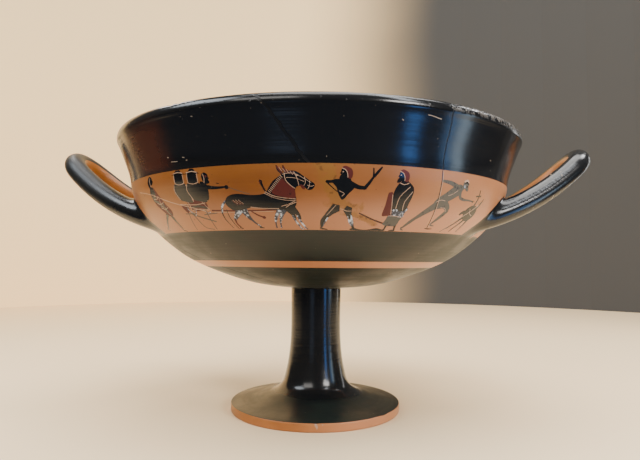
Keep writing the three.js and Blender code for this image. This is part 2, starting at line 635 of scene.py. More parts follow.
@dataclass
class Handle:
    """One loop handle: a horseshoe of round clay, swept up from the wall.

    Attributes:
        side: 1 for the handle at +X, -1 for the one at -X.
        tube: radius of the clay roll.
        root_x: how far out its axis leaves the wall.
        root_y: half the distance between its roots.
        root_z: height of its roots.
        reach: length of the horseshoe, measured on its own curved sheet.
        bend_radius: radius of the turn at its far end.
        root_slope: climb at the roots.
        tip_slope: climb at the far end.
        spread: how much wider the clay is where it meets the wall.
        spread_under: how much more it widens underneath.
        fillet: how far along the roll the smeared clay runs.
        clay_angle: how far the unpainted inner side reaches round the roll.
        search: how far from its root a line on the roll may come out of the wall.
        sides: how many lines run along it.
        fillet_steps: how many steps the smeared clay is cut into.
        half_steps: how many steps the rest of a half is cut into.
        lean: how far its straight limbs lean together.
        limb: length of a straight limb.
        length: length of its whole axis.
    """

    side: int
    tube: float = 6.1 * MM
    root_x: float = 97.3 * MM
    root_y: float = 39 * MM
    root_z: float = 114.5 * MM
    reach: float = 69.9 * MM
    bend_radius: float = 19.4 * MM
    root_slope: float = math.radians(18.5)
    tip_slope: float = math.radians(46)
    spread: float = 1.3
    spread_under: float = 0.35
    fillet: float = 9 * MM
    clay_angle: float = math.radians(63)
    search: float = 30 * MM
    sides: int = 40
    fillet_steps: int = 8
    half_steps: int = 44
    lean: float = field(init=False)
    limb: float = field(init=False)
    length: float = field(init=False)

    def __post_init__(self) -> None:
        """Works out the straight limbs and the whole length."""
        centre = self.reach - self.bend_radius
        span = math.hypot(centre, self.root_y)
        self.lean = math.atan2(self.root_y, centre) - math.asin(self.bend_radius / span)
        self.limb = math.sqrt(span**2 - self.bend_radius**2)
        self.length = 2 * self.limb + self.bend_radius * (math.pi - 2 * self.lean)

    def flat(self, along: float) -> tuple[float, float]:
        """Gives a place on the flat horseshoe.

        Args:
            along: length along the axis.

        Returns:
            The place as (outwards, sideways).
        """
        if along > self.length / 2:
            outwards, sideways = self.flat(self.length - along)
            return outwards, -sideways
        if along < self.limb:
            return along * math.cos(self.lean), self.root_y - along * math.sin(self.lean)
        turn = (along - self.limb) / self.bend_radius + self.lean
        centre = self.reach - self.bend_radius
        return centre + self.bend_radius * math.sin(turn), self.bend_radius * math.cos(turn)

    def centre(self, along: float) -> Vector:
        """Gives a point of the roll's axis.

        Args:
            along: length along the axis.

        Returns:
            The point.
        """
        outwards, sideways = self.flat(along)
        bend = (self.tip_slope - self.root_slope) / self.reach
        slope = self.root_slope + bend * outwards
        x = self.root_x + (math.sin(slope) - math.sin(self.root_slope)) / bend
        z = self.root_z - (math.cos(slope) - math.cos(self.root_slope)) / bend
        return Vector((x * self.side, sideways * self.side, z))

    def frame(self, along: float) -> tuple[Vector, Vector, Vector]:
        """Gives the roll's directions at a place.

        Args:
            along: length along the axis.

        Returns:
            The directions ahead, into the loop, and up from the horseshoe's sheet.
        """
        step = 0.1 * MM
        ahead = (self.centre(along + step) - self.centre(along - step)).normalized()
        outwards, _ = self.flat(along)
        slope = self.root_slope + (self.tip_slope - self.root_slope) * outwards / self.reach
        up = Vector((-math.sin(slope) * self.side, 0, math.cos(slope)))
        inwards = ahead.cross(up).normalized()
        return ahead, inwards, inwards.cross(ahead).normalized()

    def surface(self, along: float, angle: float, swell: float = 1.0) -> Vector:
        """Gives a point on the roll.

        Args:
            along: length along the axis.
            angle: turn from the inner side of the loop towards the top.
            swell: how much the roll is thicker there.

        Returns:
            The point.
        """
        _, inwards, up = self.frame(along)
        out = inwards * math.cos(angle) + up * math.sin(angle)
        return self.centre(along) + out * (self.tube * swell)

    def meets_wall(self, wall: Wall, angle: float, swell: float, far_end: bool) -> float:
        """Finds where a line on the roll comes out of the wall.

        Args:
            wall: the wall.
            angle: which line, as in surface.
            swell: how much thicker the roll is.
            far_end: whether the root is the one at the far end.

        Returns:
            The length along the axis.
        """
        inside, outside = -self.search, self.search
        for _ in range(40):
            middle = (inside + outside) / 2
            along = self.length - middle if far_end else middle
            point = self.surface(along, angle, swell)
            if math.hypot(point.x, point.y) < wall.radius_at(point.z):
                inside = middle
            else:
                outside = middle
        return self.length - outside if far_end else outside

    def root_ring(self, wall: Wall, far_end: bool) -> list[Vector]:
        """Gives the ring on the wall where the smeared clay of a root ends.

        Args:
            wall: the wall.
            far_end: whether the root is the one at the far end.

        Returns:
            The ring's points.
        """
        step = math.tau / self.sides
        angles = [(i + 0.5) * step for i in range(self.sides)]
        angles += [self.clay_angle, -self.clay_angle]
        ring = []
        for angle in sorted(a % math.tau for a in angles):
            along = self.meets_wall(wall, angle, self.root_swell(angle), far_end)
            ring.append(self.surface(along, angle, self.root_swell(angle)))
        return ring

    def root_swell(self, angle: float) -> float:
        """Gives how far the smeared clay spreads at an angle: most of all underneath."""
        return self.spread + self.spread_under * max(0.0, -math.sin(angle))

    def root_angle(self, point: Vector, far_end: bool) -> float:
        """Finds the angle round the roll of a point on a root's ring.

        Args:
            point: the point.
            far_end: whether the root is the one at the far end.

        Returns:
            The angle, as in surface.
        """
        along = self.length if far_end else 0.0
        for _ in range(12):
            ahead, inwards, up = self.frame(along)
            off = point - self.centre(along)
            along += off.dot(ahead)
        return math.atan2(off.dot(up), off.dot(inwards))

    def half(self, wall: Wall, ring: Circle, far_end: bool) -> "RollHalf":
        """Works out one half of the roll.

        Args:
            wall: the wall.
            ring: the corners on the wall with their normals.
            far_end: whether it is the half at the far end.

        Returns:
            The half, from the wall to the middle of the loop.
        """
        known = [(self.root_angle(point, far_end) % math.tau, point, normal) for point, normal in ring]
        known.sort(key=lambda entry: entry[0])
        sign = -1 if far_end else 1
        rows: list[list[Vector]] = [[] for _ in range(self.fillet_steps + self.half_steps + 1)]
        for angle, point, _ in known:
            bare = self.meets_wall(wall, angle, 1.0, far_end)
            corner = self.surface(bare, angle)
            begin = bare + sign * self.fillet
            leave = self.surface(begin, angle)
            for i in range(self.fillet_steps):
                t = i / self.fillet_steps
                rows[i].append(point * (1 - t) ** 2 + corner * (2 * t * (1 - t)) + leave * t**2)
            for i in range(self.half_steps + 1):
                along = begin + (self.length / 2 - begin) * i / self.half_steps
                rows[self.fillet_steps + i].append(self.surface(along, angle))
        return RollHalf([entry[0] for entry in known], rows, [entry[2] for entry in known])

    def lay(self, skin: Skin, wall: Wall, rings: list[Circle]) -> None:
        """Adds the roll to the skin, from one ring on the wall to the other.

        Args:
            skin: the skin to add to.
            wall: the wall.
            rings: the corners of the two root rings, near end first.
        """
        near = self.half(wall, rings[0], False)
        far = self.half(wall, rings[1], True)
        rows = near.rows + far.rows[-2::-1]
        count = len(near.angles)
        normals = [near.wall_normals]
        for before, row, after in zip(rows, rows[1:], rows[2:]):
            line = []
            for j in range(count):
                round_way = row[(j + 1) % count] - row[j - 1]
                line.append((after[j] - before[j]).cross(round_way).normalized())
            normals.append(line)
        normals.append(far.wall_normals)
        for j in range(count):
            k = (j + 1) % count
            gap = (near.angles[k] - near.angles[j]) % math.tau
            middle = (near.angles[j] + gap / 2 + math.pi) % math.tau - math.pi
            finish = Finish.CLAY if abs(middle) < self.clay_angle else Finish.GLOSS
            for i in range(len(rows) - 1):
                spots = [(i, k), (i, j), (i + 1, j), (i + 1, k)]
                skin.face([rows[a][b] for a, b in spots], [normals[a][b] for a, b in spots], finish)


@dataclass(frozen=True)
class RollHalf:
    """Half of a handle's roll.

    Attributes:
        angles: the angle of each line that runs along it.
        rows: its rings of points, from the wall on.
        wall_normals: the normals of its first ring.
    """

    angles: list[float]
    rows: list[list[Vector]]
    wall_normals: list[Vector]


# ---- the painting


def smooth_path(points: Spots, closed: bool, steps: int = 4) -> Spots:
    """Draws a smooth path through points.

    Args:
        points: the points.
        closed: whether the path returns to its first point.
        steps: how many steps each stretch is cut into.

    Returns:
        The path's points.
    """
    count = len(points)
    spans = count if closed else count - 1
    path = []
    for i in range(spans):
        if closed:
            picks = [points[(i + j - 1) % count] for j in range(4)]
        else:
            picks = [points[min(max(i + j - 1, 0), count - 1)] for j in range(4)]
        for step in range(steps):
            t = step / steps
            path.append(tuple(spline_value(a, b, c, d, t) for a, b, c, d in zip(*picks)))
    if not closed:
        path.append(points[-1])
    return path


class Brush:
    """Paints one figure, which looks to the right unless it is turned round."""

    def __init__(self, patches: list[Patch], along: float, faces: int = 1, stretch: float = 1.0) -> None:
        """Takes the brush to a place.

        Args:
            patches: everything painted so far, which the brush adds to.
            along: the figure's own zero, in millimetres round the wall.
            faces: 1 where the figure looks right, -1 where it looks left.
            stretch: how much wider than drawn the figure is painted.
        """
        self.along = along
        self.faces = faces * stretch
        self.patches = patches

    def add(self, ring: Spots, finish: Finish) -> None:
        """Adds one painted area by its corners."""
        edge = np.array([(self.along + self.faces * x, y) for x, y in ring])
        self.patches.append(Patch(edge, finish))

    def area(self, points: Spots, finish: Finish = Finish.GLOSS) -> None:
        """Paints a smooth-edged area."""
        self.add(smooth_path(points, True), finish)

    def disc(self, centre: tuple[float, float], across: float, high: float = 0.0,
             finish: Finish = Finish.GLOSS) -> None:
        """Paints an oval.

        Args:
            centre: its middle.
            across: half its width.
            high: half its height, or 0 for a round one.
            finish: its paint.
        """
        turns = [i * math.tau / 18 for i in range(18)]
        tall = high or across
        x, y = centre
        self.add([(x + across * math.cos(t), y + tall * math.sin(t)) for t in turns], finish)

    def stroke(self, points: Spots, widths: list[float],
               finish: Finish = Finish.GLOSS, steps: int = 4) -> None:
        """Paints a tapering stroke.

        Args:
            points: its path.
            widths: its width from start to end.
            finish: its paint.
            steps: how finely its bends are drawn.
        """
        path = np.array(smooth_path(points, False, steps))
        ahead = np.gradient(path, axis=0)
        ahead /= np.hypot(*ahead.T)[:, None]
        half = np.interp(np.linspace(0, 1, len(path)), np.linspace(0, 1, len(widths)), widths) / 2
        beside = np.column_stack([-ahead[:, 1], ahead[:, 0]]) * half[:, None]
        end = path[-1] + ahead[-1] * half[-1] * 0.8
        start = path[0] - ahead[0] * half[0] * 0.8
        ring = [start, *(path + beside), end, *(path - beside)[::-1]]
        self.add([tuple(p) for p in ring], finish)

    def line(self, points: Spots, width: float = 0.3,
             finish: Finish = Finish.INCISION) -> None:
        """Scratches a thin line."""
        self.stroke(points, [width, width], finish, 3)

    def hatch(self, start: tuple[float, float], end: tuple[float, float], tooth: tuple[float, float],
              count: int, width: float = 0.3, finish: Finish = Finish.INCISION) -> None:
        """Scratches a row of short lines.

        Args:
            start: foot of the first one.
            end: foot of the last one.
            tooth: how far each reaches from its foot.
            count: how many there are.
            width: their width.
            finish: their paint.
        """
        for i in range(count):
            t = i / max(count - 1, 1)
            x = start[0] + (end[0] - start[0]) * t
            y = start[1] + (end[1] - start[1]) * t
            self.line([(x, y), (x + tooth[0], y + tooth[1])], width, finish)


class Figure(Brush):
    """One painted figure; each kind has its own method, drawn as if it looked to the right."""

    def head(self, x: float, y: float) -> None:
        """Paints a plain bearded head in side view, with red hair.

        Args:
            x: middle of the head.
            y: its height.
        """
        self.area([(x - 1.7, y + 0.4), (x - 1.2, y + 2.1), (x + 0.5, y + 2.6), (x + 1.8, y + 1.6),
                   (x + 2.1, y + 0.4), (x + 2.5, y - 0.2), (x + 2, y - 0.7), (x + 1.7, y - 1.6),
                   (x + 0.2, y - 2.3), (x - 1, y - 1.9)])
        self.stroke([(x - 0.5, y - 1.2), (x - 1, y - 3.4)], [2.6, 2.8])
        self.area([(x + 0.2, y - 1), (x + 2.1, y - 0.9), (x + 2.7, y - 2.9), (x + 1.1, y - 2.8)])
        self.area([(x - 1.1, y + 2.5), (x + 0.4, y + 3), (x + 1.6, y + 2.2), (x + 0.2, y + 1.4),
                   (x - 0.7, y - 0.2), (x - 1.1, y - 2.2), (x - 2.5, y - 2.4), (x - 3, y - 0.2),
                   (x - 2.4, y + 1.6)], Finish.RED)
        self.line([(x + 1.7, y + 2), (x + 0.2, y + 1.3), (x - 0.6, y - 0.1), (x - 0.9, y - 2)], 0.28)
        self.disc((x + 1.2, y + 0.4), 0.3, 0.24, Finish.INCISION)

    def cloaked_man(self, worn: bool) -> None:
        """Paints a standing man wrapped in a cloak, its end hanging in front.

        Args:
            worn: whether his lower half is rubbed grey, with a painted glare on it.
        """
        low = Finish.SILVERED if worn else Finish.GLOSS
        hem = Finish.THIN_SLIP if worn else Finish.RED
        self.stroke([(2.9, 4.6), (3, 2.2), (3.3, 0.9)], [1.5, 1, 0.9])
        self.stroke([(2.9, 0.7), (4.4, 0.5), (5.9, 0.3)], [1.1, 0.9, 0.5])
        self.stroke([(-1.8, 4.6), (-2.2, 2.2), (-2.4, 0.9)], [1.5, 1, 0.9])
        self.stroke([(-2.8, 0.7), (-1.2, 0.5), (0.3, 0.3)], [1.1, 0.9, 0.5])
        self.area([(2.9, 9.8), (4.4, 6.6), (5, 3.9), (1.6, 3.2), (-2.2, 3.4), (-3.2, 6.4),
                   (-3.6, 9.4)], hem)
        self.area([(3.6, 13.2), (3.9, 10.6), (3.2, 8.6), (0.2, 8.9), (-3.9, 8.2), (-4.4, 10.6),
                   (-4.9, 13.8)], low)
        self.area([(-1.2, 26.4), (1.2, 25.7), (2.9, 23.6), (3.9, 20), (4, 15.5), (3.4, 12.2),
                   (0.6, 12.8), (-1.4, 11.6), (-4.3, 12.4), (-5.1, 16), (-5.9, 20), (-5.5, 23.2),
                   (-3.5, 25.2)])
        self.area([(4.1, 20.4), (5.6, 20.6), (6.3, 19.9), (6.6, 14.6), (7, 9.2), (4.8, 8.9), (2.2, 9.8),
                   (3.2, 14)], Finish.RED)
        self.head(0.6, 28.2)
        self.line([(1.6, 25.2), (-0.4, 24.5), (-2.6, 25.3)])
        self.line([(-5.4, 21.5), (-2.6, 16.5), (-2.8, 12.2)], 0.28)
        self.line([(-3.6, 23.6), (0.4, 18.8), (1, 13)], 0.28)
        self.line([(4.1, 19.6), (3.3, 14.2), (2.6, 9.9)])
        self.line([(3.2, 9), (0.2, 9), (-3.6, 8.5)])

    def striding_man(self, broken: bool) -> None:
        """Paints a bearded man with wide legs who raises a forked branch behind him.

        Args:
            broken: whether a lost strip crosses his hips.
        """
        self.stroke([(-2.6, 12), (-3.4, 9.4), (-4, 8)], [4.4, 2.8, 2.2])
        self.stroke([(-4, 8.3), (-5, 5.2), (-6.6, 2)], [2.2, 2.3, 1.1], Finish.SILVERED)
        self.stroke([(-3.8, 8.6), (-4.4, 6.4)], [1.4, 0.6])
        self.stroke([(-6.2, 2.4), (-7.2, 1.1), (-9.2, 0.5)], [1.2, 1.2, 0.5])
        self.stroke([(2.6, 12.6), (5.2, 10.2), (7, 8)], [4.8, 3.2, 2.3])
        self.stroke([(7, 8.2), (8.6, 5.4), (9.2, 2)], [2.2, 2.4, 1])
        self.stroke([(6.3, 7.2), (7.6, 4.6), (8.7, 1.8)], [0.7, 0.9, 0.4], Finish.SILVERED)
        self.stroke([(9.6, 1.4), (8.4, 0.8), (6.2, 0.4)], [1.1, 0.9, 0.5])
        if not broken:
            self.area([(0.6, 17.4), (-2.4, 15), (-4.6, 12), (0.6, 11.6), (5, 12), (3.4, 15.6)])
        self.area([(-0.8, 26.6), (1.6, 25.9), (4.1, 25.7), (4.7, 24.2), (3.1, 22.2), (2.4, 19.8),
                   (0.3, 16.4), (-2.2, 19.2), (-4, 21.2), (-4.9, 23), (-3.4, 25)])
        self.stroke([(3.4, 24.9), (5.6, 24.7), (7.4, 24.7)], [1.9, 1.3, 1.2])
        self.stroke([(7.3, 24.6), (5, 22.2), (2.6, 20.2)], [0.7, 0.45, 0.4])
        self.stroke([(-3.4, 23.6), (-6.2, 22.5), (-9.2, 22.1)], [2.5, 1.9, 1.6])
        self.stroke([(-9, 21.9), (-11, 24.8), (-12.7, 27.6)], [1.7, 1.3, 0.9])
        self.stroke([(-12.5, 27.2), (-12.3, 29.2), (-12.2, 31)], [1, 0.7, 0.5])
        self.stroke([(-12.6, 27.3), (-14.4, 29.7), (-15.9, 31.6)], [1.3, 1.2, 0.6])
        self.head(-0.6, 28.6)
        self.line([(1.8, 20.6), (-0.4, 19.4), (0.6, 18.2)], 0.24)
        self.line([(2.9, 13.8), (5, 11), (6.8, 8.6)], 0.26)
        self.line([(0.8, 12.2), (-2.2, 11), (-4.6, 11)], 0.26)

    def runner(self, worn: bool) -> None:
        """Paints a naked man who runs, one arm stretched out, the other on a staff.

        Args:
            worn: whether his paint is a thin grey, partly rubbed paint and partly a painted glare.
        """
        # the thin grey on him stands partly for a painted glare
        paint = Finish.THIN_SLIP if worn else Finish.GLOSS
        self.stroke([(-3.4, 16.2), (-8.6, 12.2), (-12.8, 8.4)], [4.4, 3, 1.9], paint)
        self.stroke([(-12.4, 8.8), (-15.2, 5.8), (-18, 2.2)], [1.9, 2, 0.9], paint)
        self.stroke([(-18.4, 2.6), (-18, 1.4), (-16.6, 0.9)], [1, 0.8, 0.4], paint)
        self.stroke([(-2.8, 16.2), (1.6, 16.4), (4.6, 13.9)], [4.6, 4, 2.6], paint)
        self.stroke([(4.7, 13.6), (1.8, 9.6), (-1.6, 5.4)], [2.4, 2.2, 0.9], paint)
        self.stroke([(-2, 5.2), (-0.6, 4.6), (1.4, 4.4)], [0.9, 0.8, 0.5], paint)
        self.area([(9.2, 26.2), (6.4, 27), (3, 25.4), (-1, 22), (-4.4, 19.4), (-6, 16.6),
                   (-4.2, 14.6), (-1, 15.4), (2.4, 18), (6, 20.2), (9.4, 22.8)], paint)
        self.stroke([(5.2, 25.8), (0.4, 27.2), (-4.9, 27.7)], [2.4, 1.9, 1.1], paint)
        self.stroke([(8.4, 23.4), (10, 20.6), (13.6, 19.8)], [2.2, 1.5, 1.3], paint)
        self.stroke([(13.4, 19.8), (17, 19.9), (20.6, 19.6)], [1.2, 0.9, 0.6], paint)
        self.disc((20.9, 19.6), 0.8, 0.6)
        self.stroke([(8.4, 24.8), (10, 26.2)], [2.6, 2.2], paint)
        self.disc((11, 27.4), 2.1, 2.3, paint)
        self.area([(11, 26.6), (13, 26.4), (13.6, 24.2), (11.6, 24.6)], paint)
        self.stroke([(9.6, 28.6), (11.4, 29.2), (12.8, 28.2)], [0.9, 1, 0.6], Finish.INCISION)
        self.stroke([(10.2, 27.9), (11.5, 28.3), (12.6, 27.6)], [0.6, 0.7, 0.5])
        self.stroke([(10, 27), (10.8, 25.8), (11.9, 26.6)], [0.5, 0.6, 0.5], Finish.SILVERED)
        self.disc((12.1, 26.3), 0.45, 0.4)
        self.stroke([(-5.5, 32.3), (-4.4, 22), (-2.2, 3)], [0.5, 0.55, 0.5])
        self.line([(-5, 32.2), (-3.9, 22), (-1.7, 3.4)], 0.26)
        self.stroke([(-3.6, 2.6), (-1, 2.4), (1.6, 2.5)], [0.4, 0.7, 0.3])
        self.line([(0.6, 18.4), (-2.2, 18.6), (-4.6, 17.4)], 0.26)
        self.line([(-0.6, 14.8), (2.4, 14.6), (3.8, 12.8)], 0.24)
        self.line([(6.6, 24), (4.2, 22.2), (1.4, 21)], 0.24)

    def follower(self) -> None:
        """Paints a slender walker in a patterned cloak with long hair."""
        self.stroke([(2.6, 12), (-1.6, 7.8), (-6, 3.2)], [1.8, 1.1, 0.7])
        self.stroke([(-6.6, 3.4), (-7.6, 2.6), (-6, 1.6)], [0.7, 0.8, 0.4])
        self.stroke([(4.2, 12), (5, 6.6), (5.6, 1.6)], [2, 1.3, 0.7])
        self.stroke([(5.4, 1), (6.4, 0.7), (7.4, 0.4)], [0.8, 0.7, 0.4])
        self.area([(-1.6, 26.4), (0.6, 26.2), (2.6, 22.4), (4.6, 17.6), (6.6, 13.4), (5.4, 10.4),
                   (2.6, 11), (0, 14.2), (-2.4, 18.2), (-3.2, 22.4)], Finish.RED)
        self.area([(-1.6, 26.4), (0.2, 26), (0.6, 22.6), (-1, 20), (-2.9, 20.6), (-3.2, 23.6)])
        self.stroke([(-2.4, 19.6), (0.4, 18.2), (1.6, 14.6)], [1.2, 1.5, 1])
        self.stroke([(3, 17.6), (3.4, 14.2), (5, 11)], [1, 1.2, 0.8])
        self.area([(-2, 29.6), (-1.2, 31.4), (0.4, 31.6), (1.3, 30.2), (1.6, 29.2), (0.9, 28),
                   (-0.6, 27.4)])
        self.stroke([(-0.6, 30.8), (-1.8, 28.6), (-1.4, 25.6)], [1.8, 1.7, 1.4])
        self.line([(-0.4, 31), (-0.9, 29), (-0.6, 26.8)], 0.24)
        self.line([(-2.2, 20.4), (0.2, 20.2), (1.9, 21.6)])
        self.line([(-0.8, 18), (1.6, 17.4), (3.8, 18.2)])
        self.line([(0.6, 15.4), (2.6, 14.4), (5.2, 15.2)])
        self.line([(1.8, 20.2), (2, 15.6), (4, 11.4)], 0.26)

    def passenger(self, shoulder: float) -> None:
        """Paints a seated woman, wrapped to the neck, under a wide pointed hat.

        Args:
            shoulder: how high her shoulders are.
        """
        y = shoulder
        self.area([(-3, y - 0.2), (0, y + 0.3), (2.9, y - 0.5), (3.8, y - 4.5), (4.2, y - 9.4),
                   (1.2, y - 9.2), (-2.2, y - 8), (-4, y - 4.8), (-3.9, y - 2)])
        self.area([(-1.9, y + 4.4), (-2.1, y + 2.2), (-2.1, y - 0.2), (0, y - 0.5), (2.2, y - 0.2),
                   (2.2, y + 2.2), (2, y + 4.4)])
        self.line([(-2.2, y + 4), (-2.4, y + 2), (-2.3, y + 0.1)], 0.26)
        self.line([(2.4, y + 4), (2.5, y + 2), (2.4, y + 0.1)], 0.26)
        self.line([(-3.2, y - 0.6), (-4, y - 3.4), (-2.4, y - 7.8)])
        self.line([(-2.1, y - 0.1), (0, y - 0.6), (2.2, y - 0.1)])
        self.area([(-3.5, y + 4.2), (-1.9, y + 4.9), (-1, y + 6.1), (0.2, y + 6.7), (1.3, y + 6),
                   (2, y + 4.9), (3.7, y + 4), (0, y + 4.2)])
        self.line([(-2.4, y + 4.7), (0, y + 5.2), (2.5, y + 4.6)], 0.34)
        self.line([(3.1, y - 1), (3.9, y - 4.8), (4.3, y - 9)], 0.42)

    def driver(self) -> None:
        """Paints the driver, leaning out with a hand on the reins."""
        self.area([(-3.4, 26), (-0.4, 25.4), (0.4, 23), (-0.4, 18.6), (-2, 17), (-4, 20)])
        self.area([(-1.7, 26.8), (-1.8, 29.2), (-0.2, 30.2), (1.5, 29.2), (1.7, 28), (2.1, 27.4),
                   (1.6, 26.8), (1.9, 25.4), (-0.4, 24.9)])
        self.disc((0.4, 28.4), 0.5, 0.5, Finish.RED)
        self.line([(-1, 29.6), (-0.6, 27.8), (-1, 25.6)], 0.28)
        self.stroke([(0.4, 23.4), (4.4, 22.9), (9.6, 23)], [2.1, 1.4, 0.8])
        self.disc((10.1, 22.9), 1.1, 0.95)
        self.stroke([(5.6, 25), (6.6, 24.7)], [0.5, 0.4])
        self.line([(11, 22.8), (16, 20.9), (20.6, 19.4)], 0.3, Finish.THIN_SLIP)

    def cart(self) -> None:
        """Paints the cart: its seat, its frame, its thin props and the long shaft."""
        thin, red, worn_glare = Finish.THIN_SLIP, Finish.RED, Finish.SILVERED
        self.stroke([(-8.6, 10.9), (-4.6, 10.8), (-1, 10.6)], [0.5, 0.6, 0.5], thin)
        self.stroke([(-4.2, 12.6), (-2.6, 8.4), (-1.4, 4.6)], [0.5, 0.7, 0.6], thin)
        self.stroke([(-1.4, 4.6), (0.4, 2), (5.2, 0.9)], [0.6, 0.5, 0.4], thin)
        self.stroke([(6.2, 12.8), (6.4, 6.6), (6.8, 0.9)], [0.6, 0.6, 0.5], thin)
        self.stroke([(-4, 10.6), (2.6, 8), (9.2, 5.6)], [0.7, 0.8, 0.8], thin)
        self.stroke([(-8, 0.9), (-7.4, 5.4), (-6.2, 10.6)], [0.4, 0.5, 0.4], thin)
        self.stroke([(4, 9.8), (8, 10.2), (12.4, 10.4)], [0.5, 0.6, 0.4], thin)
        self.stroke([(10, 11.9), (26, 11.2), (44, 11.4)], [0.8, 0.8, 0.6], red)
        self.line([(11, 11), (26, 10.5), (42, 10.7)], 0.28)
        self.area([(-8.8, 15.8), (-4.6, 15.4), (-4.2, 13.2), (-6.4, 11.2)], red)
        self.area([(-3.6, 18.4), (2.4, 18), (7.2, 17.6), (8.4, 13.6), (3.2, 12), (-2.4, 12.8)], red)
        self.stroke([(-1.6, 14.2), (3.4, 14.4), (7.8, 13.2)], [0.9, 1.2, 0.9])
        self.line([(-9, 16.2), (-3.4, 15.6), (2.4, 15.4), (7.6, 16)], 0.4)
        self.line([(-3.8, 18.2), (-2.6, 15.4), (-2.8, 12.6)], 0.36)
        self.line([(-2, 12.6), (3.2, 13), (8.2, 12.2)], 0.4)
        self.line([(-5.2, 14.8), (-4.4, 12.4), (-2, 10.8)], 0.34, worn_glare)
        self.line([(0.2, 12.8), (-1, 10.6), (-2.2, 9.2)], 0.34, worn_glare)
        self.line([(4.8, 12.4), (6.6, 10.8), (8.6, 11)], 0.34, worn_glare)
        self.line([(5.6, 17.6), (7, 15), (8.8, 12.4)], 0.34)

    def mule(self) -> None:
        """Paints a pair of mules side by side, seen as one with doubled legs, in harness."""
        self.mule_legs()
        self.area([(-20.3, 14.6), (-19.7, 17.4), (-16.9, 19.2), (-12.5, 19.6), (-7, 18.9), (-2.5, 19),
                   (0.4, 19.9), (2.4, 22.2), (4.4, 24.8), (7, 27.2), (9.2, 28.7), (12, 29.4),
                   (14.6, 28.8), (17, 27), (19.6, 25.1), (21.5, 23.7), (21.6, 22.3), (20.4, 21),
                   (18.6, 20.9), (17.2, 22.2), (15, 22.7), (13.4, 21.4), (13.4, 18.6), (13.7, 15.6),
                   (12.9, 13), (10.4, 11.6), (5, 11.4), (-2, 11.9), (-7, 12.7), (-10.5, 12.2),
                   (-14, 11.4), (-17.8, 11.8)])
        for x, tip in ((8.4, 5.7), (10.4, 8.6)):
            self.stroke([(x, 27.8), ((x + tip) / 2 - 0.4, 29.8), (tip, 31.6)], [0.9, 1.2, 0.4])
            self.line([(x - 0.4, 28.2), ((x + tip) / 2 - 0.3, 29.9), (tip + 0.1, 31.2)], 0.4, Finish.RED)
        self.hatch((6.2, 31.2), (12.4, 29.2), (1.3, -1.9), 7, 0.3, Finish.RED)
        self.hatch((6.9, 30.9), (12.9, 28.8), (1.2, -1.7), 5, 0.18)
        self.area([(8, 26), (9.6, 24.2), (12.9, 21.6), (13, 16.9), (8.2, 17.6), (3, 19.5),
                   (4.8, 22.6)], Finish.RED)
        self.stroke([(1, 19.9), (4.2, 24.2), (8.4, 27.6)], [1, 1.5, 1])
        self.hatch((1.5, 20.7), (7.2, 27.4), (0.9, -0.9), 12, 0.26)
        self.harness()

    def mule_legs(self) -> None:
        """Paints the mules' legs and tail, rubbed white: worn paint with a painted glare."""
        worn_glare, black = Finish.SILVERED, Finish.GLOSS
        self.stroke([(-20, 16.4), (-22.8, 14), (-24.2, 10.2)], [1, 1.1, 0.9], worn_glare)
        self.stroke([(-24.2, 10.4), (-23.8, 6.4), (-21.6, 1.4)], [0.7, 0.5, 0.4], black)
        self.stroke([(-21, 12), (-20.8, 7), (-18.6, 1)], [0.4, 0.5, 0.4], black)
        self.stroke([(-13.8, 12.6), (-16.4, 9), (-18.4, 6.6)], [4.6, 2.6, 1.5], worn_glare)
        self.stroke([(-18.4, 6.6), (-18.4, 4.2), (-17.2, 1.9)], [1.2, 0.8, 0.8], Finish.RED)
        self.stroke([(-17.6, 1.8), (-16.2, 0.8)], [0.9, 0.5], black)
        self.stroke([(-12.4, 12.4), (-10.8, 8.4), (-9.6, 6.2)], [4.4, 2.4, 1.5], worn_glare)
        self.stroke([(-9.6, 6.4), (-8, 4.2), (-5.6, 1.9)], [1.3, 1, 0.9], worn_glare)
        self.stroke([(-6.4, 1.7), (-4.4, 1.2)], [1.1, 0.5], black)
        for x in (2.4, 4.8):
            self.stroke([(x + 3.4, 12), (x + 1.2, 8.4), (x + 0.2, 5.4)], [2.6, 1.7, 1.1], worn_glare)
            self.stroke([(x + 0.2, 5.6), (x, 3.2), (x, 1.3)], [1, 0.7, 0.9], worn_glare)
        for x in (0, 2.3):
            self.stroke([(x + 9, 12.4), (x + 11.4, 9.2), (x + 12.4, 6.4)], [3.2, 2, 1.2], black)
            self.stroke([(x + 11.2, 8.2), (x + 12.6, 5), (x + 14.6, 1.6)], [0.9, 1, 0.8], worn_glare)
            self.stroke([(x + 14.4, 1.5), (x + 15.8, 0.4)], [0.9, 0.6], worn_glare)

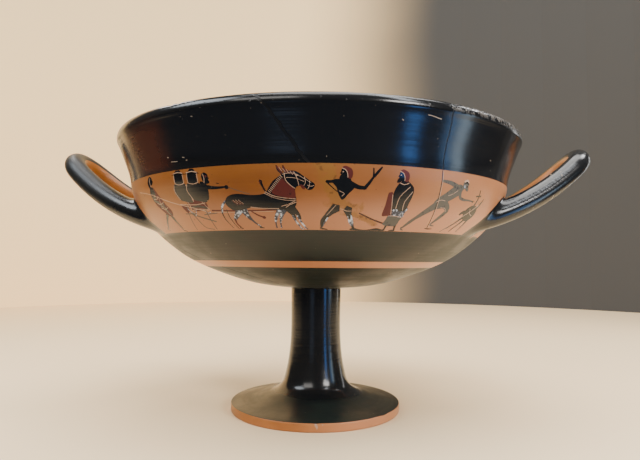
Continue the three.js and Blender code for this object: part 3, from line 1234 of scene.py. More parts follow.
    def harness(self) -> None:
        """Scratches the mules' harness, bridle and ribs, and paints the yoke's peg."""
        self.stroke([(-1.6, 25.2), (-0.8, 22.6), (0.3, 20.2)], [1.5, 0.8, 0.7])
        self.stroke([(-1.6, 25), (-2.1, 24)], [0.5, 0.4], Finish.RED)
        self.line([(0, 20.2), (3.6, 18.2), (8.4, 17.2), (13.3, 16.7)], 0.34)
        self.line([(-0.6, 19.6), (3.6, 17.4), (8.4, 16.2), (13.5, 15.9)], 0.24)
        self.line([(13.6, 16.2), (10, 14.2), (6.6, 13.2)])
        self.line([(13.6, 15.2), (10.6, 14), (8.6, 12.6)])
        self.line([(-8.2, 13), (-2, 12.2), (5.2, 12)])
        self.line([(9, 28.4), (9.4, 25.4), (11.6, 22.8), (13.3, 21.6)], 0.28)
        self.line([(8.2, 27.8), (12.2, 28.4), (16.2, 26.6), (20.2, 24)], 0.2)
        self.line([(9.8, 26.4), (13.4, 26.2), (17.2, 24.6)], 0.2)
        self.line([(13, 29), (14.2, 26.4), (15, 22.9)], 0.22)
        self.line([(17.4, 26.6), (17.8, 24.4), (17, 22.6)], 0.22)
        self.line([(19.6, 25), (19.4, 22.8), (18.6, 21.2)], 0.2)
        self.line([(18.6, 23), (20.2, 22.5), (21.4, 22.9)], 0.2)
        self.disc((14.4, 27.4), 0.42, 0.3, Finish.INCISION)
        self.area([(15.4, 23.2), (17, 22.8), (17.6, 21.2), (16.4, 21.4)], Finish.RED)
        for x in (-16.4, -15, -13.6):
            self.line([(x, 16.4), (x + 0.8, 15.4), (x + 2.1, 14.2)], 0.34, Finish.RED)
            self.line([(x + 0.2, 16.8), (x + 1, 15.9), (x + 2.3, 14.8)], 0.2)

    def stick(self, start: tuple[float, float], end: tuple[float, float], knob: bool) -> None:
        """Paints a fallen stick.

        Args:
            start: its upper end.
            end: its lower end.
            knob: whether it ends in a knob.
        """
        middle = ((start[0] + end[0]) / 2, (start[1] + end[1]) / 2 - 0.4)
        self.stroke([start, middle, end], [0.6, 0.8, 0.9], Finish.RED)
        if knob:
            self.disc(end, 0.9, 0.8, Finish.RED)
        else:
            self.stroke([start, middle, end], [0.3, 0.4, 0.3])

    def hound(self) -> None:
        """Paints a lean hound that leaps, its tail curled up."""
        self.stroke([(-8.4, 15), (-5, 12), (-2.6, 8.2)], [2.4, 1.6, 0.8])
        self.stroke([(-2.6, 8.4), (-4.2, 5), (-4.6, 1.4)], [0.8, 0.6, 0.4])
        self.stroke([(-7, 13.4), (-8.4, 9), (-6.6, 5.6)], [2, 1, 0.6])
        self.stroke([(-6.6, 5.8), (-8.6, 3.6), (-9, 1.2)], [0.6, 0.5, 0.4])
        self.stroke([(-8, 15.2), (-2.6, 16), (3, 13.6)], [3.8, 2.8, 3.8])
        self.stroke([(3, 13), (8.4, 9.6), (13.4, 8.6)], [2, 0.9, 0.5])
        self.stroke([(2.4, 12.4), (6.6, 8.4), (11, 6.8)], [1.6, 0.8, 0.4])
        self.stroke([(3.4, 14.2), (6, 16.4), (7.6, 18.2)], [2.6, 1.8, 1.7])
        self.area([(6.6, 19.2), (8.4, 19.6), (11.6, 18), (11.4, 17.2), (8.2, 16.8)])
        self.stroke([(7.4, 19), (6.4, 20), (5.4, 20.4)], [0.8, 0.8, 0.3])
        self.stroke([(-9.4, 15.6), (-11.8, 18.4), (-10.8, 22)], [0.8, 0.6, 0.4])
        self.line([(2, 15.2), (1, 13.4), (1.8, 11.8)], 0.26)
        self.line([(-5.6, 16.8), (-6.4, 14.6), (-5, 13)], 0.26)
        self.line([(5, 17), (6.2, 15.8)], 0.34, Finish.RED)
        self.disc((8.6, 18.4), 0.24, 0.2, Finish.INCISION)

    def broken_hound(self) -> None:
        """Paints the remains of a leaping hound: its body and a few thin strokes."""
        self.stroke([(-0.4, 12.6), (-3.6, 8.2), (-7.4, 3.4)], [1.8, 1.1, 0.6])
        self.stroke([(-7, 4.2), (-8.6, 2.6), (-9.8, 1)], [0.6, 0.5, 0.4], Finish.THIN_SLIP)
        self.stroke([(1.2, 11.6), (-1.6, 6.4), (-4.2, 1.6)], [1.7, 1, 0.6])
        self.stroke([(3, 11.4), (2, 6.2), (1, 1.6)], [1.6, 1, 0.5])
        self.area([(-2.6, 15), (0.4, 17.6), (4, 17.2), (5.4, 14), (4.2, 10.4), (1.2, 8.6),
                   (-2.2, 10.8)])
        self.stroke([(-1.6, 13.6), (-3.6, 13.4), (-5, 12)], [2.8, 2, 1])
        self.stroke([(3.6, 15.8), (5.4, 18.6), (6.6, 21.6)], [1.5, 1, 0.6])
        self.stroke([(1.2, 16.8), (2.2, 21), (1.8, 25.6)], [1.1, 0.8, 0.5])
        self.stroke([(0.2, 22.4), (3.4, 23)], [0.7, 0.7])
        self.line([(-7.6, 7.6), (-1, 12.4), (4.6, 18.2)], 0.34)
        self.line([(0, 15.8), (1.2, 13.4), (3.6, 12.2)], 0.26)

    def blemishes(self) -> None:
        """Paints a place where the black below runs up, and a pale hairline crack."""
        self.area([(25, 0.15), (25.6, 1.5), (28.5, 0.9), (31.5, 0.5), (34.5, 0.9), (38, 1.7),
                   (41, 0.9), (41.6, 0.15)])
        self.line([(-100, 25.6), (-86, 23), (-69.8, 17.6), (-55.6, 13.8), (-48.4, 11.6)], 0.42)


class Painter:
    """Paints the story round the wall."""

    def __init__(self) -> None:
        """Starts with a bare wall."""
        self.patches: list[Patch] = []

    def at(self, along: float, faces: int = 1, stretch: float = 1.0) -> Figure:
        """Starts a figure, with its place, the way it looks and how wide it is drawn, as in Brush."""
        return Figure(self.patches, along, faces, stretch)

    def front(self) -> None:
        """Paints the front: a mule cart with its people, and three men and a hound before it."""
        self.at(-82, stretch=1.35).follower()
        self.at(-54.5).cart()
        self.at(-59, stretch=1.25).passenger(26.2)
        self.at(-50.4, stretch=1.25).passenger(26)
        self.at(-43).driver()
        self.at(-15).mule()
        self.at(0).stick((-23.6, 11), (-17.8, 7.4), True)
        self.at(19, -1).striding_man(True)
        self.at(0).stick((27.3, 10), (41.1, 4.4), False)
        self.at(45.5, -1).cloaked_man(True)
        self.at(70).runner(True)
        self.at(91.8, stretch=1.3).broken_hound()
        self.at(0).blemishes()

    def back(self) -> None:
        """Paints the back, more plainly: onlookers, a hound and a runner."""
        middle = Wall.SPREAD_RADIUS * math.pi
        self.at(middle - 88).cloaked_man(False)
        self.at(middle - 66).striding_man(False)
        self.at(middle - 38).hound()
        self.at(middle - 20, -1).runner(False)
        self.at(12 - middle, -1).cloaked_man(False)
        self.at(36 - middle, -1).hound()
        self.at(62 - middle, -1).striding_man(False)
        self.at(88 - middle, -1).cloaked_man(False)


# ---- shader maths


@dataclass(frozen=True)
class Value:
    """A number that a material's nodes work out, which can be used in sums.

    Attributes:
        book: the nodes that it belongs to.
        socket: where it comes out.
    """

    book: "NodeBook"
    socket: bpy.types.NodeSocket

    def maths(self, operation: str, *others: "Value | float") -> "Value":
        """Adds one Math node with this value first."""
        inputs = {0: self, **{i + 1: other for i, other in enumerate(others)}}
        return self.book.value("ShaderNodeMath", {"operation": operation}, inputs)

    def __add__(self, other: "Value | float") -> "Value":
        """Adds."""
        return self.maths("ADD", other)

    def __radd__(self, other: float) -> "Value":
        """Adds to a plain number."""
        return self.maths("ADD", other)

    def __sub__(self, other: "Value | float") -> "Value":
        """Takes away."""
        return self.maths("SUBTRACT", other)

    def __rsub__(self, other: float) -> "Value":
        """Takes this value from a plain number."""
        return (self * -1) + other

    def __mul__(self, other: "Value | float") -> "Value":
        """Multiplies."""
        return self.maths("MULTIPLY", other)

    def __pow__(self, other: float) -> "Value":
        """Raises to a power."""
        return self.maths("POWER", other)

    def least(self, other: "Value | float") -> "Value":
        """Gives the smaller of two values."""
        return self.maths("MINIMUM", other)

    def most(self, other: "Value | float") -> "Value":
        """Gives the larger of two values."""
        return self.maths("MAXIMUM", other)

    def eased(self, low: float, high: float) -> "Value":
        """Gives a mask that rises smoothly from 0 at low to 1 at high, or falls where low is above."""
        if low < high:
            settings = {"interpolation_type": "SMOOTHSTEP"}
            spans = {"Value": self, "From Min": low, "From Max": high}
            return self.book.value("ShaderNodeMapRange", settings, spans, "Result")
        return 1 - self.eased(high, low)


class NodeBook:
    """The nodes of one material."""

    def __init__(self, name: str) -> None:
        """Makes the material, with only its output.

        Args:
            name: the material's name.
        """
        self.material = bpy.data.materials.new(name)
        self.material.use_nodes = True
        self.tree = self.material.node_tree
        self.tree.nodes.clear()
        self.output = self.tree.nodes.new("ShaderNodeOutputMaterial")
        self.place = self.node("ShaderNodeTexCoord", {}, {}).outputs["Object"]
        apart = self.node("ShaderNodeSeparateXYZ", {}, {0: self.place})
        self.x, self.y, self.z = (Value(self, socket) for socket in apart.outputs)

    def node(self, kind: str, settings: dict, inputs: dict) -> bpy.types.Node:
        """Adds one node.

        Args:
            kind: the node's type.
            settings: its own settings, such as a Math node's operation.
            inputs: what goes into its sockets, by name or number.

        Returns:
            The node.
        """
        made = self.tree.nodes.new(kind)
        for key, setting in settings.items():
            setattr(made, key, setting)
        for key, given in inputs.items():
            source = given.socket if isinstance(given, Value) else given
            if isinstance(source, bpy.types.NodeSocket):
                self.tree.links.new(source, made.inputs[key])
            else:
                made.inputs[key].default_value = source
        return made

    def value(self, kind: str, settings: dict, inputs: dict, output: str | int = 0) -> Value:
        """Adds one node and gives one of its numbers."""
        return Value(self, self.node(kind, settings, inputs).outputs[output])

    def noise(self, scale: float, detail: float = 3, rough: float = 0.5, at: object = None) -> Value:
        """Gives cloudy noise of about 0.5.

        Args:
            scale: its fineness, per metre.
            detail: how many finer layers it has.
            rough: how strong those are.
            at: where it is read; the place on the object if left out.

        Returns:
            The noise.
        """
        inputs = {"Vector": at or self.place, "Scale": scale, "Detail": detail, "Roughness": rough}
        return self.value("ShaderNodeTexNoise", {}, inputs, "Fac")

    def join(self, x: "Value | float", y: "Value | float", z: "Value | float") -> bpy.types.NodeSocket:
        """Makes a vector of three values."""
        return self.node("ShaderNodeCombineXYZ", {}, {0: x, 1: y, 2: z}).outputs[0]

    def blend(self, low: object, high: object, mask: Value) -> bpy.types.NodeSocket:
        """Mixes two colours by a mask."""
        settings = {"data_type": "RGBA", "clamp_factor": True}
        made = self.node("ShaderNodeMix", settings, {0: mask, 6: low, 7: high})
        return made.outputs[2]

    def azimuth(self) -> Value:
        """Gives the way round in degrees, from the front to the right."""
        return self.x.maths("ARCTAN2", self.y * -1) * (180 / math.pi)

    def radius(self) -> Value:
        """Gives the distance from the cup's axis, in metres."""
        return (self.x * self.x + self.y * self.y) ** 0.5

    def bump(self, height: Value, depth: float) -> bpy.types.NodeSocket:
        """Gives the normal of a surface with a fine relief.

        Args:
            height: the relief, from 0 to 1.
            depth: how deep it is, in metres.

        Returns:
            The normal.
        """
        inputs = {"Strength": 1.0, "Distance": depth, "Height": height}
        return self.node("ShaderNodeBump", {}, inputs).outputs["Normal"]

    def surface(self, plain: dict, varied: dict) -> bpy.types.Material:
        """Ends the material with its shader.

        Args:
            plain: the shader's sockets that hold one number or colour.
            varied: the sockets that change over the surface.

        Returns:
            The material.
        """
        shader = self.node("ShaderNodeBsdfPrincipled", {}, {**plain, **varied})
        self.tree.links.new(shader.outputs[0], self.output.inputs[0])
        return self.material


def shade(red: int, green: int, blue: int) -> tuple[float, float, float, float]:
    """Turns a display colour of 0 to 255 into the linear colour that shaders use."""
    linear = []
    for part in (red, green, blue):
        c = part / 255
        linear.append(c / 12.92 if c <= 0.04045 else ((c + 0.055) / 1.055) ** 2.4)
    return (*linear, 1.0)


# ---- finishes


@dataclass(frozen=True)
class Crack:
    """A thin crack or scratch, as a path of (azimuth in degrees, height in millimetres)."""

    path: tuple[tuple[float, float], ...]
    width: float = 0.35


def crack_mask(book: NodeBook, cracks: tuple[Crack, ...], wander: float = 0.5) -> Value:
    """Gives a mask that is 1 on thin cracks.

    Args:
        book: the material's nodes.
        cracks: the cracks.
        wander: how far they stray from their paths, in millimetres.

    Returns:
        The mask.
    """
    degree = Wall.SPREAD_RADIUS * math.pi / 180
    stray = (book.noise(160, 4, 0.6) - 0.5) * (wander * 4)
    along = book.azimuth() * degree + stray
    up = book.z * 1000 + stray
    mask = None
    for crack in cracks:
        for (azimuth0, z0), (azimuth1, z1) in zip(crack.path, crack.path[1:]):
            a0, a1 = azimuth0 * degree, azimuth1 * degree
            dx, dy = a1 - a0, z1 - z0
            square = dx * dx + dy * dy
            share = ((along - a0) * (dx / square) + (up - z0) * (dy / square)).most(0.0).least(1.0)
            off_x = along - a0 - share * dx
            off_y = up - z0 - share * dy
            distance = (off_x * off_x + off_y * off_y) ** 0.5
            line = distance.eased(crack.width * 0.8, crack.width * 0.25)
            mask = line if mask is None else mask.most(line)
    return mask


@dataclass(frozen=True)
class GlossSlip:
    """The black gloss: a thin fired slip with wheel marks, small wear and a few cracks."""

    colour: tuple = (0.0075, 0.0078, 0.0085, 1)
    brown: tuple = shade(70, 34, 22)
    bare: tuple = shade(196, 176, 152)
    worn: tuple = shade(86, 78, 68)
    crack: tuple = shade(8, 7, 7)
    olive: tuple = shade(24, 33, 29)
    dark_cracks: tuple[Crack, ...] = (
        Crack(((33.8, 159.0), (34.4, 148), (34.6, 130.5)), 0.5),
        Crack(((-8.8, 159), (-5.6, 151), (-3.1, 144), (-0.7, 138), (2.4, 130.5)), 1.1),
        Crack(((-59, 96.5), (-49.7, 89.4), (-38, 82.4), (-25.3, 75.8)), 0.45),
        Crack(((-30, 80.4), (-27.7, 78.2), (-29, 74.6)), 0.35),
    )
    scratches: tuple[Crack, ...] = (
        Crack(((27.9, 152.4), (31.4, 151.6)), 0.26),
        Crack(((-34.6, 137.0), (-34.2, 136.7)), 0.24),
        Crack(((-29.3, 136.0), (-28.7, 135.8)), 0.24),
        Crack(((-28.2, 134.6), (-27.9, 134.5)), 0.2),
        Crack(((-33.4, 134.8), (-31.2, 134.5)), 0.2),
        Crack(((-24.0, 152.2), (-23.7, 152.0)), 0.2),
        Crack(((22.0, 149.6), (22.3, 149.2)), 0.24),
        Crack(((52.0, 139.0), (52.3, 138.7)), 0.24),
    )

    def make(self) -> bpy.types.Material:
        """Makes the material."""
        book = NodeBook("black_gloss")
        radius = book.radius()
        turned = book.join(book.x * 14, book.y * 14, (book.z + radius * 0.7) * 620)
        marks = book.noise(1.0, 4, 0.55, turned)
        cloud = book.noise(22, 4, 0.6)
        fine = book.noise(900, 2, 0.5)
        misfire = self.misfire(book, cloud)
        worn_edge = self.worn_edge(book, radius)
        cracked = crack_mask(book, self.dark_cracks)
        scratched = crack_mask(book, self.scratches, 0.2)
        specks = book.noise(640, 1, 0.4).eased(0.79, 0.83)
        low = (book.z * 1000).eased(104.5, 101.5) * radius.eased(0.024, 0.03)
        streaks = (book.noise(60, 4, 0.6) + marks * 0.2).eased(0.4, 0.75)
        colour = book.blend(self.colour, self.olive, low * streaks)
        colour = book.blend(colour, self.brown, misfire)
        colour = book.blend(colour, self.crack, cracked)
        colour = book.blend(colour, self.worn, worn_edge)
        bared = (scratched + specks * 0.5 + self.handle_break(book)).least(1.0)
        colour = book.blend(colour, self.bare, bared)
        side = book.x * 1000
        dull = side.eased(-96, -136) * 0.26 + side.eased(110, 140) * 0.04 + low * (0.16 + streaks * 0.14)
        damage = misfire * 0.1 + worn_edge * 0.3 + cracked * 0.25
        roughness = 0.1 + cloud * 0.1 + marks * 0.06 + damage + dull
        relief = marks * 0.55 + cloud * 0.5 + fine * 0.1 - cracked * 0.4 + worn_edge * fine * 3
        plain = {"IOR": 1.5, "Specular IOR Level": 0.45}
        varied = {"Base Color": colour, "Roughness": roughness, "Normal": book.bump(relief, 0.00012)}
        return book.surface(plain, varied)

    @staticmethod
    def misfire(book: NodeBook, cloud: Value) -> Value:
        """Gives the mask of the red-brown patch on the left of the lip.

        Args:
            book: the material's nodes.
            cloud: the noise that breaks its edge.

        Returns:
            The mask.
        """
        azimuth = book.azimuth() + (cloud - 0.5) * 8
        across = azimuth.eased(-56, -48) * azimuth.eased(-30, -38)
        height = (book.z * 1000).eased(129, 134) * (book.z * 1000).eased(158, 148)
        return across * height * cloud.eased(0.2, 0.5) * 0.95

    @staticmethod
    def worn_edge(book: NodeBook, radius: Value) -> Value:
        """Gives the mask of the slip worn off the rim, most of all on the right.

        Args:
            book: the material's nodes.
            radius: the distance from the axis.

        Returns:
            The mask.
        """
        top = (book.z * 1000).eased(154.8, 157.2)
        azimuth = book.azimuth()
        right = azimuth.eased(30, 38) * azimuth.eased(84, 70)
        flecks = book.noise(460, 3, 0.6)
        return top * radius.eased(0.1, 0.11) * (flecks + right * 0.2).eased(0.66, 0.74)

    @staticmethod
    def handle_break(book: NodeBook) -> Value:
        """Gives the mask of the fine ring cracks across the right handle.

        Args:
            book: the material's nodes.

        Returns:
            The mask.
        """
        across = book.x * 1000 + (book.noise(300, 3, 0.6) - 0.5) * 4
        front = (book.y * 1000).eased(0, -8)
        first = (across - 137.5).maths("ABSOLUTE").eased(0.26, 0.1)
        second = (across - 132.0).maths("ABSOLUTE").eased(0.26, 0.1)
        second_gaps = book.noise(240, 2, 0.5).eased(0.52, 0.56)
        first_gaps = book.noise(260, 2, 0.5).eased(0.5, 0.54)
        return (first * first_gaps).most(second * second_gaps) * front


@dataclass(frozen=True)
class BareClay:
    """The unpainted clay: orange with a polished wash, finely mottled, mended in one strip, with a painted
    sheen low down and on the right front and painted shade on the top front.
    """

    name: str = "reserved_clay"
    colour: tuple = shade(172, 108, 52)
    # pale: painted sheen and light for the lower wall and the right front, and some random paler tone
    pale: tuple = shade(208, 144, 106)
    # dark: the deeper clay tone, also used as painted shade on the upper front
    dark: tuple = shade(142, 84, 34)
    mend: tuple = shade(158, 108, 44)
    mended: tuple[Crack, ...] = (
        Crack(((5.5, 129), (7.5, 121), (9.5, 116)), 7.0),
        Crack(((9, 116.5), (13, 111), (19, 107)), 4.0),
    )
    chips: tuple[Crack, ...] = (
        Crack(((3.4, 4.2), (4.4, 2.8)), 1.6),
        Crack(((7.5, 4.4), (7.9, 4.2)), 0.5),
    )

    def make(self) -> bpy.types.Material:
        """Makes the material."""
        book = NodeBook(self.name)
        cloud = book.noise(26, 5, 0.6)
        broad = book.noise(9, 2, 0.5)
        grain = book.noise(1500, 2, 0.6)
        specks = book.noise(520, 2, 0.5).eased(0.72, 0.77)
        brown = book.noise(300, 2, 0.5).eased(0.6, 0.66)
        turned = book.join(book.x * 10, book.y * 10, (book.z + book.radius() * 0.7) * 500)
        marks = book.noise(1.0, 4, 0.55, turned)
        height = book.z * 1000
        # painted reflection: the lower wall is made paler, as if it mirrored the pale table
        low = height.eased(121, 108) * height.eased(60, 90)
        front = (book.y * 1000).eased(40, -40)
        # painted shade: the upper front is made darker, where less light bounces up
        high = height.eased(114, 128) * book.azimuth().eased(34, 14) * front
        # painted light: the right front is made paler, as if lit from the right
        right = book.azimuth().eased(-10, 45) * front
        mended = crack_mask(book, self.mended, 3.0)
        washed = (cloud.eased(0.3, 0.6) * 0.6 + marks * 0.5).least(1.0)
        # the painted sheen and light, mixed with random paler tone
        painted_sheen_and_tone = (low * 0.65 + right * 0.45 + broad.eased(0.5, 0.7) * 0.2).least(1.0)
        colour = book.blend(self.dark, self.colour, washed)
        colour = book.blend(colour, self.pale, painted_sheen_and_tone)
        # painted shade on the upper front
        colour = book.blend(colour, self.dark, high * 0.4)
        colour = book.blend(colour, self.mend, mended * 0.7)
        colour = book.blend(colour, shade(84, 50, 30), (specks * 0.5 + mended * brown * 0.5).least(1.0))
        colour = book.blend(colour, shade(170, 160, 150), crack_mask(book, self.chips, 0.4) * 0.7)
        roughness = 0.24 + grain * 0.12 + cloud * 0.1 + mended * 0.15
        relief = grain * 0.3 + marks * 0.5 + cloud * 0.3
        plain = {"IOR": 1.45, "Specular IOR Level": 0.4}
        varied = {"Base Color": colour, "Roughness": roughness, "Normal": book.bump(relief, 0.0001)}
        return book.surface(plain, varied)


@dataclass(frozen=True)
class ThinPaint:
    """A thin painted colour with patches rubbed through to what lies under it.

    Attributes:
        name: the material's name.
        colour: the paint.
        under: what shows where it is worn.
        worn: how much of it is worn, from 0 to 1.
        rough: its roughness.
    """

    name: str
    colour: tuple
    under: tuple
    worn: float = 0.3
    rough: float = 0.4

    def make(self) -> bpy.types.Material:
        """Makes the material."""
        book = NodeBook(self.name)
        flakes = book.noise(700, 4, 0.65)
        cloud = book.noise(120, 3, 0.5)
        start = 0.72 - self.worn * 0.35
        mask = (flakes * 0.6 + cloud * 0.4).eased(start, start + 0.08)
        colour = book.blend(self.colour, self.under, mask)
        roughness = self.rough + flakes * 0.15
        plain = {"IOR": 1.45, "Specular IOR Level": 0.4}
        varied = {"Base Color": colour, "Roughness": roughness,
                  "Normal": book.bump(flakes - mask * 0.5, 0.00008)}
        return book.surface(plain, varied)


@dataclass(frozen=True)
class StudioPaper:
    """The pale surround that the cup stands in front of and on.

    Attributes:
        name: the material's name.
        colour: its pale side.
        shaded: its shaded side.
        axis: which way it shades off, 0 for along X and 1 for along Y.
        span: where the shade is full and where it ends, in metres.
        beside: the same towards its far left and right, measured on the floor.
        glow: how brightly it shines of itself.
        cut: whether its pale side is cut away.
    """

    name: str
    colour: tuple
    shaded: tuple
    axis: int
    span: tuple[float, float]
    beside: tuple[float, float] = (9, 8)
    glow: float = 0.0
    cut: bool = False

    def make(self) -> bpy.types.Material:
        """Makes the material."""
        book = NodeBook(self.name)
        cloud = book.noise(3, 2, 0.5) * 0.06 - 0.03
        place = (book.x, book.y)[self.axis]
        aside = book.x.maths("ABSOLUTE") - book.y * 0.6
        shade_off = (place + cloud).eased(*self.span) * aside.eased(*self.beside)
        colour = book.blend(self.shaded, self.colour, shade_off)
        plain = {"Roughness": 0.7, "Specular IOR Level": 0.2, "Emission Strength": self.glow}
        varied = {"Base Color": colour, "Emission Color": colour}
        if self.cut:
            varied["Alpha"] = 1 - shade_off
        return book.surface(plain, varied)


def cup_materials() -> list[bpy.types.Material]:
    """Makes the cup's materials, in the order of Finish."""
    made = {
        Finish.GLOSS: GlossSlip().make(),
        Finish.CLAY: BareClay().make(),
        Finish.RED: ThinPaint("added_red", shade(98, 40, 34), shade(58, 24, 22), 0.35).make(),
        Finish.INCISION: ThinPaint("incised_line", shade(206, 168, 138), shade(150, 104, 74), 0.5).make(),
        # the rubbed slip's bluish white is a painted glare on worn paint
        Finish.SILVERED: ThinPaint("worn_slip_and_glare", shade(216, 220, 228), shade(70, 72, 80), 0.86).make(),
        # thin slip, also a painted glare on the front runner
        Finish.THIN_SLIP: ThinPaint("thin_slip_and_glare", shade(96, 92, 82), shade(58, 58, 58), 0.5).make(),
    }
    return [made[finish] for finish in Finish]


# ---- the cup


@dataclass(frozen=True)
class Nick:
    """A small chip knocked out of an edge.

    Attributes:
        azimuth: where it is, in degrees.
        height: its height.
        width: how wide it is.
        depth: how deep it is.
        least_radius: how far from the axis a surface lies that it can reach.
    """

    azimuth: float
    height: float
    width: float
    depth: float
    least_radius: float = 100 * MM

    FADE: ClassVar[float] = 3

    def press(self, circle: Circle) -> None:
        """Presses the chip into one level circle.

        Args:
            circle: the circle's points and normals.
        """
        turn = math.radians(self.azimuth)
        for i, (point, normal) in enumerate(circle):
            reach = point.xy.length
            middle = Vector((math.sin(turn) * reach, -math.cos(turn) * reach, self.height))
            near = (point - middle).length / self.width
            if near < self.FADE:
                circle[i] = (point - normal * (self.depth * math.exp(-near * near)), normal)


class Cup:
    """The whole cup: foot, stem, bowl and lip turned round one axis, and two handles."""

    COLUMNS = 288
    HOLLOW_ROWS = 26
    STEM_ROWS = 44
    BOTTOM_ROWS = 40
    LINE_ROWS = 3
    LIP_ROWS = 26
    INSIDE_ROWS = 46

    def __init__(self, sizes: CupSizes) -> None:
        """Prepares the cup.

        Args:
            sizes: its sizes.
        """
        self.sizes = sizes
        self.wall = Wall(sizes)
        turn = math.tau / self.COLUMNS
        self.azimuths = [-math.pi + i * turn for i in range(self.COLUMNS + 1)]
        self.skin = Skin()
        self.handles = [Handle(1), Handle(-1)]
        foot = sizes.foot_edge
        self.nicks = self.worn_rim() + [
            Nick(4.0, foot * 0.7, 1.4 * MM, 0.6 * MM, 45 * MM),
            Nick(53.0, foot, 2.2 * MM, 0.9 * MM, 45 * MM),
            Nick(-58.0, foot, 1.2 * MM, 0.4 * MM, 45 * MM),
        ]

    def turned(self, rows: list[Row], finish: Finish) -> None:
        """Adds a stretch of turned surface, with the nicks that lie in it.

        Args:
            rows: its rows.
            finish: what covers it.
        """
        circles = [row.around(self.azimuths) for row in rows]
        for row, circle in zip(rows, circles):
            for nick in self.nicks:
                reach = nick.FADE * nick.width
                if abs(row.height - nick.height) < reach and row.radius > nick.least_radius:
                    nick.press(circle)
        self.skin.strip(circles, finish)

    def worn_rim(self) -> list["Nick"]:
        """Gives the small nicks in the rim, many of them on its rubbed right side."""
        chance = np.random.default_rng(7)
        top = self.sizes.height
        nicks = [Nick(-30.3, top, 1.2 * MM, 0.7 * MM), Nick(-27.2, top, 1.0 * MM, 0.5 * MM)]
        for azimuth in np.arange(34, 76, 1.7):
            width = chance.uniform(0.9, 2.0) * MM
            nicks.append(Nick(azimuth + chance.uniform(-1, 1), top, width, chance.uniform(0.08, 0.25) * MM))
        for azimuth in chance.uniform(-180, 180, 14):
            nicks.append(Nick(azimuth, top, 0.9 * MM, 0.15 * MM))
        return nicks

    def lay_foot(self) -> None:
        """Adds the hollow under the foot, the standing ring, the foot's edge, its top and the stem."""
        size = self.sizes
        shift = size.stem_shift
        hollow = rows_along(size.hollow_outline(), 0, 1, self.HOLLOW_ROWS, shift)
        self.turned(hollow[:-2], Finish.CLAY)
        soft = 0.8 * MM
        inner, outer = size.ring_inner, size.foot_radius
        base = [Row(hollow[-3].radius, hollow[-3].height, hollow[-3].facing, shift)]
        base += rounded((inner + soft, soft), soft, 180, 270, 4, shift)
        base += rounded((outer - soft, soft), soft, -90, 0, 5, shift)
        top = size.foot_edge
        self.turned(base, Finish.CLAY)
        crisp = 0.7 * MM
        round_top = rounded((outer - crisp, top - crisp), crisp, 0, 80, 6, shift)
        self.turned([base[-1], Row(outer, top * 0.5, (1, 0), shift)] + round_top[:5], Finish.CLAY)
        stem = rows_along(size.stem_outline(), 0, 1, self.STEM_ROWS, shift)
        self.turned(round_top[4:] + stem[1:], Finish.GLOSS)

    def lay_bowl(self) -> None:
        """Adds the bowl's outside: the join to the stem, the black bottom, the line and the lip."""
        size = self.sizes
        outline = self.wall.outline
        join = rows_along(size.stem_outline(), 1, 1, 1, size.stem_shift)[:1]
        line_low = outline.at_height(size.line_low)
        line_high = outline.at_height(size.line_high)
        bottom = rows_along(outline, 0, line_low, self.BOTTOM_ROWS)
        under = [Row(join[0].radius, join[0].height, (0, -1), join[0].shift),
                 Row(bottom[0].radius, bottom[0].height, (0, -1))]
        self.turned(under, Finish.GLOSS)
        self.turned(bottom, Finish.GLOSS)
        self.turned(rows_along(outline, line_low, line_high, self.LINE_ROWS), Finish.CLAY)
        lip_low = outline.at_height(size.frieze_high)
        self.turned(rows_along(outline, lip_low, 1, self.LIP_ROWS), Finish.GLOSS)

    def lay_lip(self) -> None:
        """Adds the rounded rim and the inside of the bowl down to its middle."""
        size = self.sizes
        outside = self.wall.outline
        inner = self.inside()
        dr, dz = outside.slope(1)
        depth = size.crown_depth
        crown = (size.rim_radius - size.crown_depth / 2, size.height)
        rim = bent(outside.at(1), (dr * depth * 1.25, dz * depth * 1.25), crown, (-depth * 0.94, 0), 14)
        inner_edge = (inner[0].radius, inner[0].height)
        rim += bent(crown, (-depth * 0.5, 0), inner_edge, (-dr * depth * 0.6, -dz * depth * 0.6), 8)[1:]
        self.turned(rim, Finish.GLOSS)
        tondo = [row for row in inner if row.radius <= size.tondo_radius * 1.001]
        wide = inner[:len(inner) - len(tondo) + 1]
        self.turned([rim[-1]] + wide[1:], Finish.GLOSS)
        self.lay_tondo(wide[-1], tondo)

    def inside(self) -> list[Row]:
        """Gives the rows of the inside, the outside moved in by the wall's thickness."""
        size = self.sizes
        rows = []
        for i in range(self.INSIDE_ROWS + 1):
            where = 1 - i / self.INSIDE_ROWS
            radius, height = self.wall.outline.at(where)
            dr, dz = self.wall.outline.slope(where)
            wall = size.floor_wall + (size.lip_wall - size.floor_wall) * min(1, 1.6 * where)
            rows.append(Row(radius - dz * wall, height + dr * wall, (-dz, dr)))
        rows = [row for row in rows if row.radius > size.tondo_radius]
        last = rows[-1]
        drop = last.height - size.floor_height
        for share in (0.999, 0.8, 0.62, 0.56, 0.3, 0.12, 0.09, 0.0):
            radius = size.tondo_radius * share
            rise = (radius / last.radius) ** 2
            tilt = 2 * drop * radius / last.radius**2
            slope = math.hypot(1, tilt)
            rows.append(Row(radius, size.floor_height + drop * rise, (-tilt / slope, 1 / slope)))
        return rows

    def lay_tondo(self, border: Row, rows: list[Row]) -> None:
        """Adds the small unpainted disc in the middle of the floor, with a black ring and dot.

        Args:
            border: the last row of the black inside.
            rows: the disc's rows, from its edge to the middle.
        """
        self.turned([border] + rows[:1], Finish.GLOSS)
        clay, gloss = Finish.CLAY, Finish.GLOSS
        looks = [clay, clay, gloss, clay, clay, gloss, gloss]
        for (outer, inner), finish in zip(zip(rows, rows[1:]), looks):
            self.turned([outer, inner], finish)

